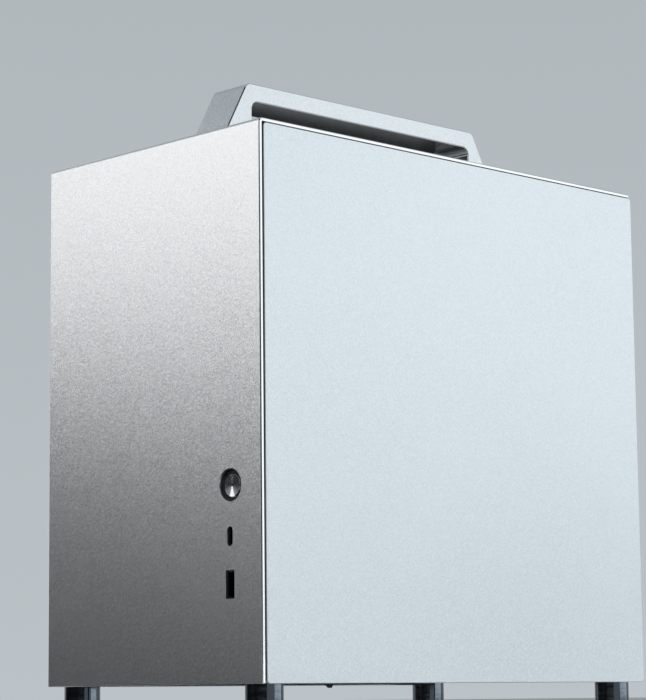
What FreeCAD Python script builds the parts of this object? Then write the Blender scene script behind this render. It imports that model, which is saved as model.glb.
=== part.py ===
"""Compact desktop computer tower: a folded front-and-roof shell over a steel chassis, lift-off side panels,
a carry handle, turned feet, a front button with two sockets, and the computer inside it.

Frame: +Z up, front towards -Y, right-hand side panel towards +X, origin on the ground under the middle of the
case. All sizes are millimetres. Each sub-part is written to parts/NAME.step.
"""

import FreeCAD, Part
import math
import os

V = FreeCAD.Vector
X, Y, Z = V(1, 0, 0), V(0, 1, 0), V(0, 0, 1)

# ---------------------------------------------------------------- casing
body_width = 174.0
body_depth = 300.0
body_height = 288.0
foot_height = 22.0  # ground to the lower edge of the casing
shell_wall = 1.8  # folded front and roof plate
shell_bend = 2.6  # outside radius of the fold
shell_rear_setback = 1.5  # roof plate ends this far ahead of the side panels
edge_break = 0.55  # chamfer along machined edges
panel_wall = 1.5
panel_return = 3.0  # depth of the folded rim, wall included
panel_gap_front = 1.4
panel_gap_top = 0.4
panel_corner = 2.0
panel_edge_round = 0.4
sheet = 1.0  # chassis steel
floor_sheet = 1.2
floor_recess = 4.0  # floor sits this far above the casing's lower edge
rear_recess = 12.0  # rear panel sits this far inside the casing
touch = 0.05  # clearance of pieces that are drawn together
loose = 0.3  # clearance of pieces that only lie near each other

half_width = body_width / 2
front_y = -body_depth / 2
rear_y = body_depth / 2
base_z = foot_height
top_z = base_z + body_height
roof_z = top_z - shell_wall
wall_y = front_y + shell_wall  # back face of the front plate
chassis_half = half_width - panel_return - 1.0
floor_z = base_z + floor_recess
floor_top = floor_z + floor_sheet
rear_outer = rear_y - rear_recess
rear_inner = rear_outer - sheet
panel_front = wall_y + panel_gap_front
panel_top = roof_z - panel_gap_top
panel_inner = half_width - panel_wall

# ---------------------------------------------------------------- roof vents and handle
handle_width = 27.0
handle_rise = 42.0
handle_top_length = 183.0
handle_base_length = 228.0
grip_length = 175.5  # finger opening
grip_bar = 10.0  # thickness of the top bar
handle_outer_round = 5.0
handle_inner_round = 4.5
handle_screw_radius = 2.5
handle_screw_offset = 7.0
vent_count = 9
vent_pitch = 20.0
vent_width = 4.0
vent_length = 46.0
vent_inset = 37.0  # middle of a vent row from the casing's side

# ---------------------------------------------------------------- feet and filter
foot_radius = 9.8
foot_gap = 0.6  # between a foot and the side panel's rim
foot_inset = panel_return + foot_gap + foot_radius  # foot centre from the casing's outer faces
pad_radius = 8.2
pad_thickness = 3.0
pad_recess = 1.0
foot_screw_radius = 2.0
filter_foot_gap = 2.8  # between the filter and the feet, with the rail in it
filter_half_width = half_width - foot_inset - foot_radius - filter_foot_gap
opening_margin = 9.0  # of the filter round the floor's air openings
filter_length = 250.0
filter_thickness = 2.2
filter_rim = 7.0
filter_web = 0.5
rail_lip = 0.8
rail_wall = 1.6

# ---------------------------------------------------------------- front controls
control_inset = 23.8  # button and socket centre line from the casing's right side
control_x = half_width - control_inset
button_z = base_z + 100.3
usb_c_z = base_z + 74.4
usb_a_z = base_z + 50.0
button_hole_radius = 8.2
button_radius = 6.1
button_recess = 1.6
button_travel = 0.8
button_gap = 0.15
usb_c_window = (4.2, 10.0)
usb_a_window = (6.5, 14.5)
usb_a_shell = (5.7, 13.1)
usb_c_shell = (3.3, 9.0)
socket_setback = 1.4  # socket mouths behind the outer face
control_board_wall = 1.6
control_board_x = control_x + usb_a_shell[0] / 2 + touch

# ---------------------------------------------------------------- computer inside
tray_inset = 12.0  # tray from the chassis's right side
tray_x = chassis_half - tray_inset
standoff_height = 6.5
board_wall = 1.6
board_size = 170.0
board_rear_gap = 1.2
board_roof_gap = 8.8
board_back = tray_x - standoff_height
board_face = board_back - board_wall
board_rear = rear_inner - board_rear_gap
board_front = board_rear - board_size
board_top = roof_z - board_roof_gap
board_bottom = board_top - board_size
cpu_y = board_rear - 72.0
cpu_z = board_top - 64.0
fan_small = 92.0
fan_small_holes = 82.5
fan_large = 120.0
fan_large_holes = 105.0
fan_depth = 25.0
fan_tip_gap = 1.0
fan_shaft_radius = 1.5
shaft_clearance = 0.06
rear_fan_inset = 55.0  # fan axis from the chassis's left side
rear_fan_x = rear_fan_inset - chassis_half
rear_fan_z = cpu_z + 2.0
card_z = board_bottom + 6.5
card_length = 167.0
card_height = 100.0
card_thick = 1.6
card_fan_radius = 36.0
slot_pitch = 20.32
slot_count = 2
shroud_depth = 36.0
psu_width = 150.0
psu_depth = 86.0
psu_length = 140.0
psu_top = roof_z - 27.0
psu_front_gap = 5.8
psu_y = wall_y + sheet + psu_front_gap
inlet_inset = 29.0
inlet_x = inlet_inset - chassis_half
inlet_z = floor_top + 28.8
inlet_window = (27.4, 20.0)


# ================================================================ tools
def block(x0, x1, y0, y1, z0, z1):
    """A box between two corners given in any order."""
    low = V(min(x0, x1), min(y0, y1), min(z0, z1))
    size = (abs(x1 - x0), abs(y1 - y0), abs(z1 - z0))
    return Part.makeBox(*size, low)


def rod(start, direction, radius, length):
    """A cylinder from start along direction."""
    return Part.makeCylinder(radius, length, start, direction)


def joined(shapes):
    """One solid out of touching shapes."""
    return shapes[0].fuse(shapes[1:]).removeSplitter() if len(shapes) > 1 else shapes[0]


def group(shapes):
    """Separate solids kept in one node."""
    return Part.makeCompound(shapes)


def along(edge, axis):
    """True for a straight edge parallel to axis."""
    if not isinstance(edge.Curve, (Part.Line, Part.LineSegment)):
        return False
    direction = edge.Vertexes[-1].Point - edge.Vertexes[0].Point
    return direction.normalize().cross(axis).Length < 1e-6


def rounded(shape, axis, radius, keep=lambda point: True):
    """Fillets the straight edges parallel to axis whose middle passes keep."""
    edges = [e for e in shape.Edges if along(e, axis) and keep(e.CenterOfMass)]
    return shape.makeFillet(radius, edges)


def rounded_block(x0, x1, y0, y1, z0, z1, axis, radius):
    return rounded(block(x0, x1, y0, y1, z0, z1), axis, radius)


def turned(shape, centre, axis, spin=0.0):
    """Moves a shape drawn round +Z at the origin to a centre and an axis."""
    moved = shape.copy()
    moved.rotate(V(), Z, spin)
    turn = FreeCAD.Rotation(Z, axis)
    moved.Placement = FreeCAD.Placement(centre, turn).multiply(moved.Placement)
    return moved


def mirrored(shape):
    """The left-hand twin of a right-hand piece."""
    return shape.mirror(V(), X)


def extruded(corners, rounds, start, travel):
    """A prism over a polygon; rounds gives the corner radii by index."""
    count = len(corners)
    edges, ends = [], []
    for i, corner in enumerate(corners):
        before, after = corners[i - 1], corners[(i + 1) % count]
        radius = rounds.get(i, 0.0)
        if not radius:
            ends.append((corner, corner, None))
            continue
        back, ahead = (before - corner).normalize(), (after - corner).normalize()
        half = back.getAngle(ahead) / 2
        reach = radius / math.tan(half)
        middle = corner + (back + ahead).normalize() * (radius / math.sin(half) - radius)
        ends.append((corner + back * reach, corner + ahead * reach, middle))
    for i, (arrive, leave, middle) in enumerate(ends):
        if middle is not None:
            edges.append(Part.Arc(arrive, middle, leave).toShape())
        edges.append(Part.LineSegment(leave, ends[(i + 1) % count][0]).toShape())
    face = Part.Face(Part.Wire(Part.__sortEdges__(edges)))
    face.translate(start)
    return face.extrude(travel)


def cable(points, radius):
    """A round cable through points: straight runs joined by tangent arcs as large as the runs allow."""
    edges, here = [], points[0]
    for before, corner, after in zip(points, points[1:], points[2:]):
        back, ahead = before - corner, after - corner
        reach = 0.45 * min(back.Length, ahead.Length)
        back, ahead = back.normalize(), ahead.normalize()
        half = back.getAngle(ahead) / 2
        bend = reach * math.tan(half)
        middle = corner + (back + ahead).normalize() * (bend / math.sin(half) - bend)
        arrive, leave = corner + back * reach, corner + ahead * reach
        edges.append(Part.LineSegment(here, arrive).toShape())
        edges.append(Part.Arc(arrive, middle, leave).toShape())
        here = leave
    edges.append(Part.LineSegment(here, points[-1]).toShape())
    path = Part.Wire(edges)
    ring = Part.Wire(Part.makeCircle(radius, points[0], points[1] - points[0]))
    tube = path.makePipeShell([ring], True, True)
    drift = tube.Volume / (math.pi * radius**2 * path.Length) - 1
    print("cable of", round(path.Length), "mm, volume off by", round(drift, 5))
    return tube


def pan_screw(shank_radius, length):
    """A pan-head screw with a cross recess: shank down from the origin, head up along +Z."""
    head_radius, head_height = shank_radius * 1.9, shank_radius * 1.35
    head = Part.makeCylinder(head_radius, head_height)
    rim = [e for e in head.Edges if abs(e.CenterOfMass.z - head_height) < 1e-6]
    head = head.makeFillet(head_height * 0.5, rim)
    shank = rod(V(0, 0, 0), -Z, shank_radius, length)
    arm, slit = head_radius * 0.55, shank_radius * 0.32
    deep = head_height * 0.45
    cross = block(-arm, arm, -slit, slit, deep, head_height + 1)
    other = block(-slit, slit, -arm, arm, deep, head_height + 1)
    return joined([head, shank]).cut([cross, other])


def square_spots(spacing_a, spacing_b=None):
    """The four corners of a hole pattern, as offsets."""
    spacing_b = spacing_b or spacing_a
    return [(a * spacing_a / 2, b * spacing_b / 2) for a in (-1, 1) for b in (-1, 1)]


# ================================================================ fans
def fan_bore(size):
    return size / 2 - 2.5


def fan_hub(size):
    return size * 0.19


def fan_frame(size, holes):
    """A fan frame round +Z: struts and bearing at z 0, open inlet at the far side."""
    half, bore, hub = size / 2, fan_bore(size), fan_hub(size)
    body = rounded_block(-half, half, -half, half, 0, fan_depth, Z, 4.0)
    body = body.cut(Part.makeCylinder(bore, fan_depth))
    strut = block(hub - 1, bore + 1, -2, 2, 0, 2.5)
    struts = [turned(strut, V(), Z, 45 + 90 * i) for i in range(4)]
    motor = Part.makeCylinder(hub - 0.4, 2.5)
    post = Part.makeCylinder(4.0, fan_depth * 0.6)
    frame = joined([body, motor, post] + struts)
    frame = frame.cut(rod(V(0, 0, 3.0), Z, fan_shaft_radius + shaft_clearance, fan_depth))
    screws = [rod(V(a, b, 0), Z, 2.2, fan_depth) for a, b in square_spots(holes)]
    return frame.cut(screws)


def blade_ring(hub, tip, low, high, count, pitch):
    """Slanted blades between a hub radius and a tip radius."""
    width = (high - low) / math.sin(math.radians(pitch)) * 1.2
    blade = block(hub - 1.0, tip + 6, -width / 2, width / 2, -0.8, 0.8)
    blade.rotate(V(), X, pitch)
    blade.translate(V(0, 0, (low + high) / 2))
    limit = Part.makeCylinder(tip, high - low, V(0, 0, low))
    limit = limit.cut(Part.makeCylinder(hub - 0.9, high - low, V(0, 0, low)))
    blade = blade.common(limit)
    return [turned(blade, V(), Z, 360.0 * i / count) for i in range(count)]


def rotor(hub, tip, low, high, shaft_end, count, pitch):
    """A hub cup with a shaft inside it and blades outside it, between low and high on +Z."""
    cup = Part.makeCylinder(hub, high - low, V(0, 0, low))
    rim = [e for e in cup.Edges if abs(e.CenterOfMass.z - high) < 1e-6]
    cup = cup.makeFillet(1.2, rim)
    cup = cup.cut(Part.makeCylinder(hub - 1.6, high - low - 2.2, V(0, 0, low)))
    shaft = rod(V(0, 0, shaft_end), Z, fan_shaft_radius, high - shaft_end - 1.0)
    return joined([cup, shaft] + blade_ring(hub, tip, low + 0.4, high - 0.8, count, pitch))


def fan_rotor(size):
    """The rotor that runs in fan_frame."""
    return rotor(fan_hub(size), fan_bore(size) - fan_tip_gap, 3.3, fan_depth - 1.0, 4.0, 7, 38)


def wire_guard(size, holes):
    """A welded wire finger guard round +Z: spokes and screw eyes at z 0 to 2, rings on top of them."""
    wire = 1.0
    outer = fan_bore(size) - 1.0
    count = 5 if size < 100 else 6
    radii = [outer * (i + 1) / count for i in range(count)]
    rings = [Part.makeTorus(r, wire, V(0, 0, 2.6 * wire)) for r in radii]
    reach = math.hypot(holes, holes) / 2
    eye = 3.4
    spoke = rod(V(radii[0], 0, wire), X, wire, reach - eye - radii[0])
    loop = Part.makeTorus(eye, wire, V(reach, 0, wire))
    arms = [turned(part, V(), Z, 45 + 90 * i) for i in range(4) for part in (spoke, loop)]
    return joined(rings + arms)


def fan_guards():
    """The wire guards over the rear fan and the supply's fan."""
    small, large = wire_guard(fan_small, fan_small_holes), wire_guard(fan_large, fan_large_holes)
    rear = turned(small, V(rear_fan_x, rear_outer, rear_fan_z), Y)
    supply = turned(large, V(0, psu_back, psu_fan_z), Y)
    return group([rear, supply])


# ================================================================ casing
def front_top_shell():
    """Front plate and roof in one folded plate, open at the back and below."""
    back = rear_y - shell_rear_setback
    corners = [
        V(0, front_y, base_z),
        V(0, front_y, top_z),
        V(0, back, top_z),
        V(0, back, roof_z),
        V(0, wall_y, roof_z),
        V(0, wall_y, base_z),
    ]
    rounds = {0: 0.7, 1: shell_bend, 2: 1.2, 4: shell_bend - shell_wall}
    shell = extruded(corners, rounds, V(-half_width, 0, 0), X * body_width)
    bend_line = front_y + shell_bend

    def outer_skin(edge):
        middle = edge.CenterOfMass
        at_side = abs(abs(middle.x) - half_width) < 1e-6
        on_front = abs(middle.y - front_y) < 1e-6
        on_roof = abs(middle.z - top_z) < 1e-6
        on_bend = middle.y < bend_line - 0.5 and middle.z > top_z - shell_bend and middle.y < wall_y - 0.4
        return at_side and (on_front or on_roof or on_bend)

    shell = shell.makeChamfer(edge_break, [e for e in shell.Edges if outer_skin(e)])
    return shell.cut(front_holes() + roof_vents() + handle_holes())


def front_holes():
    """The button hole with its broken edge, and the two socket windows."""
    start = V(control_x, front_y - 1, button_z)
    hole = rod(start, Y, button_hole_radius, shell_wall + 2)
    flare = Part.makeCone(
        button_hole_radius + edge_break + 1, button_hole_radius, edge_break + 1, start, Y
    )
    wide_c, tall_c = usb_c_window
    window_c = rounded_block(
        control_x - wide_c / 2,
        control_x + wide_c / 2,
        front_y - 1,
        wall_y + 1,
        usb_c_z - tall_c / 2,
        usb_c_z + tall_c / 2,
        Y,
        wide_c / 2 - 0.01,
    )
    wide_a, tall_a = usb_a_window
    window_a = rounded_block(
        control_x - wide_a / 2,
        control_x + wide_a / 2,
        front_y - 1,
        wall_y + 1,
        usb_a_z - tall_a / 2,
        usb_a_z + tall_a / 2,
        Y,
        0.5,
    )
    return [hole, flare, window_c, window_a]


def roof_vents():
    """Two rows of slots, one each side of the handle."""
    slots = []
    for side in (-1, 1):
        for i in range(vent_count):
            y = (i - (vent_count - 1) / 2) * vent_pitch
            x = side * (half_width - vent_inset)
            slot = rounded_block(
                x - vent_length / 2,
                x + vent_length / 2,
                y - vent_width / 2,
                y + vent_width / 2,
                roof_z - 1,
                top_z + 1,
                Z,
                vent_width / 2 - 0.01,
            )
            slots.append(slot)
    return slots


def handle_spots():
    """Centres of the four handle screws."""
    leg_y = (grip_length + handle_base_length) / 4
    return [V(a * handle_screw_offset, b * leg_y, 0) for a in (-1, 1) for b in (-1, 1)]


def handle_holes():
    return [
        rod(V(p.x, p.y, roof_z - 1), Z, handle_screw_radius + 0.25, shell_wall + 2)
        for p in handle_spots()
    ]


def carry_handle():
    """A wide trapezoid bridge on two legs."""
    grip_top = top_z + handle_rise - grip_bar
    corners = [
        V(0, -handle_base_length / 2, top_z),
        V(0, -handle_top_length / 2, top_z + handle_rise),
        V(0, handle_top_length / 2, top_z + handle_rise),
        V(0, handle_base_length / 2, top_z),
        V(0, grip_length / 2, top_z),
        V(0, grip_length / 2, grip_top),
        V(0, -grip_length / 2, grip_top),
        V(0, -grip_length / 2, top_z),
    ]
    outer, inner = handle_outer_round, handle_inner_round
    rounds = {1: outer, 2: outer, 5: inner, 6: inner}
    bar = extruded(corners, rounds, V(-handle_width / 2, 0, 0), X * handle_width)
    side = [
        e
        for e in bar.Edges
        if abs(abs(e.CenterOfMass.x) - handle_width / 2) < 1e-6
        and e.CenterOfMass.z > top_z + 1
    ]
    bar = bar.makeChamfer(edge_break, side)
    holes = [rod(V(p.x, p.y, top_z - 1), Z, handle_screw_radius + touch, 16) for p in handle_spots()]
    return bar.cut(holes)


def right_side_panel():
    """A flat pan: sheet with a folded rim all round."""
    inner = half_width - panel_return
    pan = block(inner, half_width, panel_front, rear_y, base_z, panel_top)
    pan = rounded(pan, X, panel_corner)
    face = [e for e in pan.Edges if abs(e.CenterOfMass.x - half_width) < 1e-6]
    pan = pan.makeFillet(panel_edge_round, face)
    hollow = rounded_block(
        inner - 1,
        panel_inner,
        panel_front + panel_wall,
        rear_y - panel_wall,
        base_z + panel_wall,
        panel_top - panel_wall,
        X,
        panel_corner - panel_wall,
    )
    return pan.cut(hollow)


def stud_spots():
    """Where the panels snap on: height and depth of each ball stud."""
    return [(y, z) for y in (stud_front, stud_rear) for z in (stud_low, stud_high)]


stud_front = wall_y + sheet + 11.0
stud_rear = rear_inner - 10.0
stud_low = floor_top + 22.0
stud_high = roof_z - 22.0
ball_radius = 2.6
ball_neck = 1.5
ball_x = chassis_half - 3.2
clip_radius = 4.6


def right_panel_studs():
    """Ball studs pressed on the inner face of the panel."""
    studs = []
    for y, z in stud_spots():
        foot = rod(V(panel_inner, y, z), -X, 4.0, 1.2)
        neck = rod(V(panel_inner, y, z), -X, ball_neck, panel_inner - ball_x)
        ball = turned(Part.makeSphere(ball_radius), V(ball_x, y, z), X)
        studs.append(joined([foot, neck, ball]))
    return group(studs)


def panel_clips():
    """Nylon sockets in the chassis rims that the ball studs snap into."""
    clips = []
    depth = 7.0
    outside = chassis_half + 0.8
    for y, z in stud_spots():
        lip = rod(V(outside, y, z), -X, clip_radius + 1.4, 0.8)
        barrel = rod(V(outside, y, z), -X, clip_radius - touch, depth + 0.8)
        clip = joined([lip, barrel])
        room = Part.makeSphere(ball_radius + 0.15, V(ball_x, y, z))
        throat = rod(V(outside + 1, y, z), -X, ball_radius + 0.15, outside + 1 - ball_x)
        slit = block(chassis_half - depth, ball_x + 1.5, y - 0.5, y + 0.5, z - 8, z + 8)
        clip = clip.cut([room, throat, slit])
        clips += [clip, mirrored(clip)]
    return group(clips)


def rim_with_clip_holes(y0, y1, z0, z1):
    """One right-hand chassis rim and its holes for the clips."""
    rim = block(chassis_half - sheet, chassis_half, y0, y1, z0, z1)
    holes = [
        rod(V(chassis_half - 3, y, z), X, clip_radius, 5)
        for y, z in stud_spots()
        if min(y0, y1) < y < max(y0, y1)
    ]
    return rim.cut(holes)


def bottom_plate():
    """The floor: two large air openings, foot holes and the filter's rails."""
    floor = block(-chassis_half, chassis_half, wall_y, rear_outer, floor_z, floor_top)
    cuts = []
    wide = filter_half_width - opening_margin
    for y0, y1 in ((-113.0, -opening_margin), (opening_margin, 113.0)):
        cuts.append(rounded_block(-wide, wide, y0, y1, floor_z - 1, floor_top + 1, Z, 8.0))
    for spot in foot_spots():
        cuts.append(rod(V(spot.x, spot.y, floor_z - 1), Z, foot_screw_radius + 0.2, 4))
    floor = floor.cut(cuts)
    lip_top = floor_z - loose - filter_thickness - loose
    inside = filter_half_width + loose
    long = filter_length / 2
    rail = block(inside, inside + rail_wall, -long, long, lip_top - rail_lip, floor_z)
    lip = block(inside - 2.5, inside, -long, long, lip_top - rail_lip, lip_top)
    rail = joined([rail, lip])
    stop = block(-20, 20, -filter_length / 2 - 1.5, -filter_length / 2 - loose, floor_z - 2.0, floor_z)
    return joined([floor, rail, mirrored(rail), stop])


def dust_filter():
    """A slide-out frame with a fine mesh web and a small finger catch on its right edge."""
    top = floor_z - loose
    low = top - filter_thickness
    half, long = filter_half_width, filter_length / 2
    frame = rounded_block(-half, half, -long, long, low, top, Z, 3.0)
    bays = []
    for side in (-1, 1):
        edge_a, edge_b = side * filter_rim / 2, side * (long - filter_rim)
        for z0, z1 in ((low - 1, low + 0.8), (low + 0.8 + filter_web, top + 1)):
            bays.append(block(-half + filter_rim, half - filter_rim, edge_a, edge_b, z0, z1))
    catch_y = -76.5
    catch = extruded(
        [
            V(0, catch_y - 4.5, low + 0.1),
            V(0, catch_y + 4.5, low + 0.1),
            V(0, catch_y + 1.8, base_z - 2.1),
            V(0, catch_y + 0.2, base_z - 2.1),
        ],
        {},
        V(half - 4.0, 0, 0),
        X * 1.4,
    )
    return joined([frame.cut(bays), catch])


def foot_spots():
    """Foot centres, seen from above."""
    x, y = half_width - foot_inset, body_depth / 2 - foot_inset
    return [V(a * x, b * y, 0) for b in (-1, 1) for a in (-1, 1)]


def foot(spot):
    """A turned metal foot with a pad recess below and a threaded hole above."""
    low = pad_thickness - pad_recess
    turned_foot = rod(V(spot.x, spot.y, low), Z, foot_radius, floor_z - low)
    turned_foot = turned_foot.makeChamfer(0.5, [e for e in turned_foot.Edges if e.Length > 40])
    recess = rod(V(spot.x, spot.y, low), Z, pad_radius + touch, pad_recess)
    thread = rod(V(spot.x, spot.y, floor_z - 11), Z, foot_screw_radius + touch, 12)
    return turned_foot.cut([recess, thread])


def foot_pads():
    pads = []
    for spot in foot_spots():
        pad = rod(V(spot.x, spot.y, 0), Z, pad_radius, pad_thickness)
        lower = [e for e in pad.Edges if abs(e.CenterOfMass.z) < 1e-6 and e.Length > 20]
        pads.append(pad.makeFillet(0.6, lower))
    return group(pads)


# ================================================================ chassis
bracket_tab_x = control_board_x + control_board_wall
control_low = usb_a_z - 14.0
control_high = button_z + 14.0


def front_frame():
    """The steel frame behind the front plate, with clip rims and a tab for the control board."""
    y0, y1 = wall_y, wall_y + sheet
    plate = block(-chassis_half, chassis_half, y0, y1, floor_top, roof_z)
    side, right = chassis_half - 21, control_x - 19.2
    window = rounded_block(-side, right, y0 - 1, y1 + 1, floor_top + 20, roof_z - 20, Y, 8.0)
    sockets = block(control_x - 7, bracket_tab_x, y0 - 1, y1 + 1, control_low, usb_c_z + 10)
    plate = plate.cut([window, sockets])
    deep = y1 + 19.0
    rim = rim_with_clip_holes(y0, deep, floor_top, roof_z)
    foot_rim = block(-chassis_half + 4, chassis_half - 4, y0, y1 + 12, floor_top, floor_top + sheet)
    roof_rim = block(-chassis_half + 4, chassis_half - 4, y0, y1 + 12, roof_z - sheet, roof_z)
    tab = block(bracket_tab_x, bracket_tab_x + sheet, y0, y1 + 27, control_low, control_high)
    frame = joined([plate, rim, mirrored(rim), foot_rim, roof_rim, tab])
    ring_room = rod(V(control_x, y0 - 1, button_z), Y, collar_radius + loose, ring_back + loose - y0 + 1)
    relief = shell_bend - shell_wall + touch
    bend_room = block(-half_width, half_width, y0 - 1, y0 + relief, roof_z - relief, roof_z + 1)
    screws = [screw_hole(point, X, 1.55) for point in control_screw_spots()]
    return frame.cut([ring_room, bend_room] + screws + foot_screw_rooms())


def control_screw_spots():
    """Screws that hold the control board on its tab; the point lies on the board's face."""
    y = wall_y + sheet + 22.0
    return [V(control_board_x, y, control_low + 5), V(control_board_x, y, control_high - 5)]


def foot_screw_rooms():
    """Clearance round the heads of the foot screws in the rims that lie on the floor."""
    return [rod(V(spot.x, spot.y, floor_top), Z, foot_screw_radius * 1.9 + 0.5, 3) for spot in foot_spots()]


def screw_hole(point, axis, radius, reach=12.0):
    return rod(point - axis * (reach / 2), axis, radius, reach)


def rear_panel():
    """The recessed rear wall: socket aperture, fan hole, card slots, power inlet and rims for the clips."""
    y0, y1 = rear_inner, rear_outer
    plate = block(-chassis_half, chassis_half, y0, y1, floor_top, roof_z)
    cuts = [rod(V(rear_fan_x, y0 - 1, rear_fan_z), Y, fan_bore(fan_small), 3)]
    for a, b in square_spots(fan_small_holes):
        cuts.append(rod(V(rear_fan_x + a, y0 - 1, rear_fan_z + b), Y, 2.2, 3))
    x0, x1, z0, z1 = aperture
    cuts.append(block(x0, x1, y0 - 1, y1 + 1, z0, z1))
    for x0, x1, z0, z1 in card_slots():
        cuts.append(block(x0, x1, y0 - 1, y1 + 1, z0, z1))
    wide, tall = inlet_window
    cuts.append(
        block(inlet_x - wide / 2, inlet_x + wide / 2, y0 - 1, y1 + 1, inlet_z - tall / 2, inlet_z + tall / 2)
    )
    for a in (-1, 1):
        cuts.append(rod(V(inlet_x + a * inlet_screw_offset, y0 - 1, inlet_z), Y, 1.6, 3))
    for i in range(6):
        z = floor_top + 14 + i * 7.0
        cuts.append(rounded_block(inlet_x + 34, tray_x - 5, y0 - 1, y1 + 1, z - 1.75, z + 1.75, Y, 1.7))
    plate = plate.cut(cuts)
    rim = rim_with_clip_holes(y0 - 19, y1, floor_top, roof_z)
    ledge_z0, ledge_z1 = card_slots()[-1][2] - 4, card_slots()[0][3] + 4
    ledge = block(card_tab_x, card_tab_x + 1.2, y0, y1 + 9, ledge_z0, ledge_z1)
    for i in range(slot_count):
        ledge = ledge.cut(rod(V(card_tab_x - 1, y1 + 5, card_slot_middle(i)), X, 1.8, 4))
    foot_rim = block(-chassis_half + 4, chassis_half - 4, y0 - 11, y1, floor_top, floor_top + sheet)
    roof_rim = block(-chassis_half + 4, chassis_half - 4, y0 - 6, y1, roof_z - sheet, roof_z)
    panel = joined([plate, rim, mirrored(rim), ledge, foot_rim, roof_rim])
    return panel.cut(foot_screw_rooms())


aperture_width, aperture_height, aperture_drop = 44.45, 158.75, 1.5
aperture_x = board_face + 3.8
aperture_z = board_top - aperture_drop
aperture = (aperture_x - aperture_width, aperture_x, aperture_z - aperture_height, aperture_z)
card_tab_x = board_face - 108.5
inlet_screw_offset = 20.0


def card_slot_middle(i):
    """Height of the middle of expansion slot i."""
    return card_z - 4.6 - slot_pitch * i


def card_slots():
    """The rear openings of the expansion slots: x0, x1, z0, z1."""
    return [
        (card_tab_x - 1.2, board_face - 4, card_slot_middle(i) - 6.4, card_slot_middle(i) + 6.4)
        for i in range(slot_count)
    ]


def motherboard_tray():
    """An upright steel tray from floor to roof that carries the motherboard."""
    front = board_front - 12
    tray = block(tray_x, tray_x + sheet, front, rear_inner, floor_top, roof_z)
    windows = (
        (cpu_y - 44, cpu_y + 44, cpu_z - 40, cpu_z + 40, 8.0),
        (rear_inner - 147, rear_inner - 27, floor_top + 16, board_bottom - 22, 8.0),
        (front + 5, board_front - 2, board_bottom + 20, board_top - 20, 2.0),
    )
    cuts = [
        rounded_block(tray_x - 1, tray_x + 2, y0, y1, z0, z1, X, radius)
        for y0, y1, z0, z1, radius in windows
    ]
    rims = ((floor_top - 1, floor_top + sheet + loose, 11.3), (roof_z - sheet - loose, roof_z + 1, 6.3))
    for y, z in board_spots():
        cuts.append(screw_hole(V(tray_x, y, z), X, 1.5 + touch))
    for z0, z1, deep in rims:
        cuts.append(block(tray_x - 1, tray_x + 2, rear_inner - deep, rear_inner + 1, z0, z1))
    foot_rim = block(tray_x - 12, tray_x, front + 6, rear_inner - 12, floor_top, floor_top + sheet)
    return joined([tray.cut(cuts), foot_rim]).cut(foot_screw_rooms())


def board_spots():
    """Mounting hole centres of the motherboard."""
    rear, top = board_rear - 10.16, board_top - 6.35
    return [(rear, top), (rear - 154.94, top), (rear, top - 157.48), (rear - 154.94, top - 157.48)]


def psu_bracket():
    """A shelf over the power supply, hung from the front frame."""
    y0 = wall_y + sheet
    back = psu_y + psu_depth
    shelf = block(-psu_width / 2, psu_width / 2, y0, back, psu_top, psu_top + 1.2)
    window = rounded_block(-64, 64, psu_y + 14, back - 14, psu_top - 1, psu_top + 3, Z, 3.0)
    flange = block(-psu_width / 2, psu_width / 2, y0, y0 + 1.2, psu_top, psu_top + 20)
    lower = block(-psu_width / 2, -64, y0, y0 + 1.2, psu_top - psu_length, psu_top)
    holes = [rod(V(p.x, p.y, psu_top - 1), Z, 1.9, 4) for p in psu_screw_spots()]
    return joined([shelf.cut([window] + holes), flange, lower])


def psu_screw_spots():
    """The four screws in the power supply's mounting face."""
    y0, y1 = psu_y + 6, psu_y + psu_depth - 6
    x = psu_width / 2 - 6
    return [V(-x, y0, 0), V(x, y0, 0), V(-x, y1, 0), V(x, y1, 0)]


# ================================================================ front controls
ring_back = wall_y + 9.0
lip_front = wall_y + 6.5
collar_radius = button_hole_radius + 2.2


def power_button_ring():
    """The black guide that the button slides in, behind the hole in the front plate."""
    front = front_y + button_recess + 0.6
    sleeve = rod(V(control_x, front, button_z), Y, button_hole_radius - 0.1, ring_back - front)
    collar = rod(V(control_x, wall_y + touch, button_z), Y, collar_radius, 1.5)
    bore = rod(V(control_x, front - 1, button_z), Y, button_radius + button_gap, 20)
    pocket = rod(V(control_x, lip_front - loose, button_z), Y, button_radius + 1.2, 20)
    arm = block(control_x, control_board_x, ring_back - 3, ring_back, button_z - 3, button_z + 3)
    foot_block = block(
        control_board_x - 3, control_board_x, ring_back - 3, ring_back + 7, button_z + 5.2, button_z + 8.8
    )
    link = block(control_x + 3, control_board_x, ring_back - 3, ring_back, button_z + 5, button_z + 8.8)
    ring = joined([sleeve, collar, arm, foot_block, link])
    return ring.cut([bore, pocket])


def power_button():
    """A turned metal cap with a retaining lip and a stem that reaches into the switch."""
    front = front_y + button_recess
    cap = rod(V(control_x, front, button_z), Y, button_radius, lip_front - front)
    rim = [e for e in cap.Edges if abs(e.CenterOfMass.y - front) < 1e-6]
    cap = cap.makeChamfer(0.35, rim)
    lip = rod(V(control_x, lip_front, button_z), Y, button_radius + 0.8, 1.0)
    stem = rod(V(control_x, lip_front, button_z), Y, 1.7, switch_front + 1.2 - lip_front)
    dimple = Part.makeCone(0.45, 0.0, 0.3, V(control_x, front, button_z), Y)
    return joined([cap, lip, stem]).cut(dimple)


switch_front = ring_back + 1.6


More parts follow.
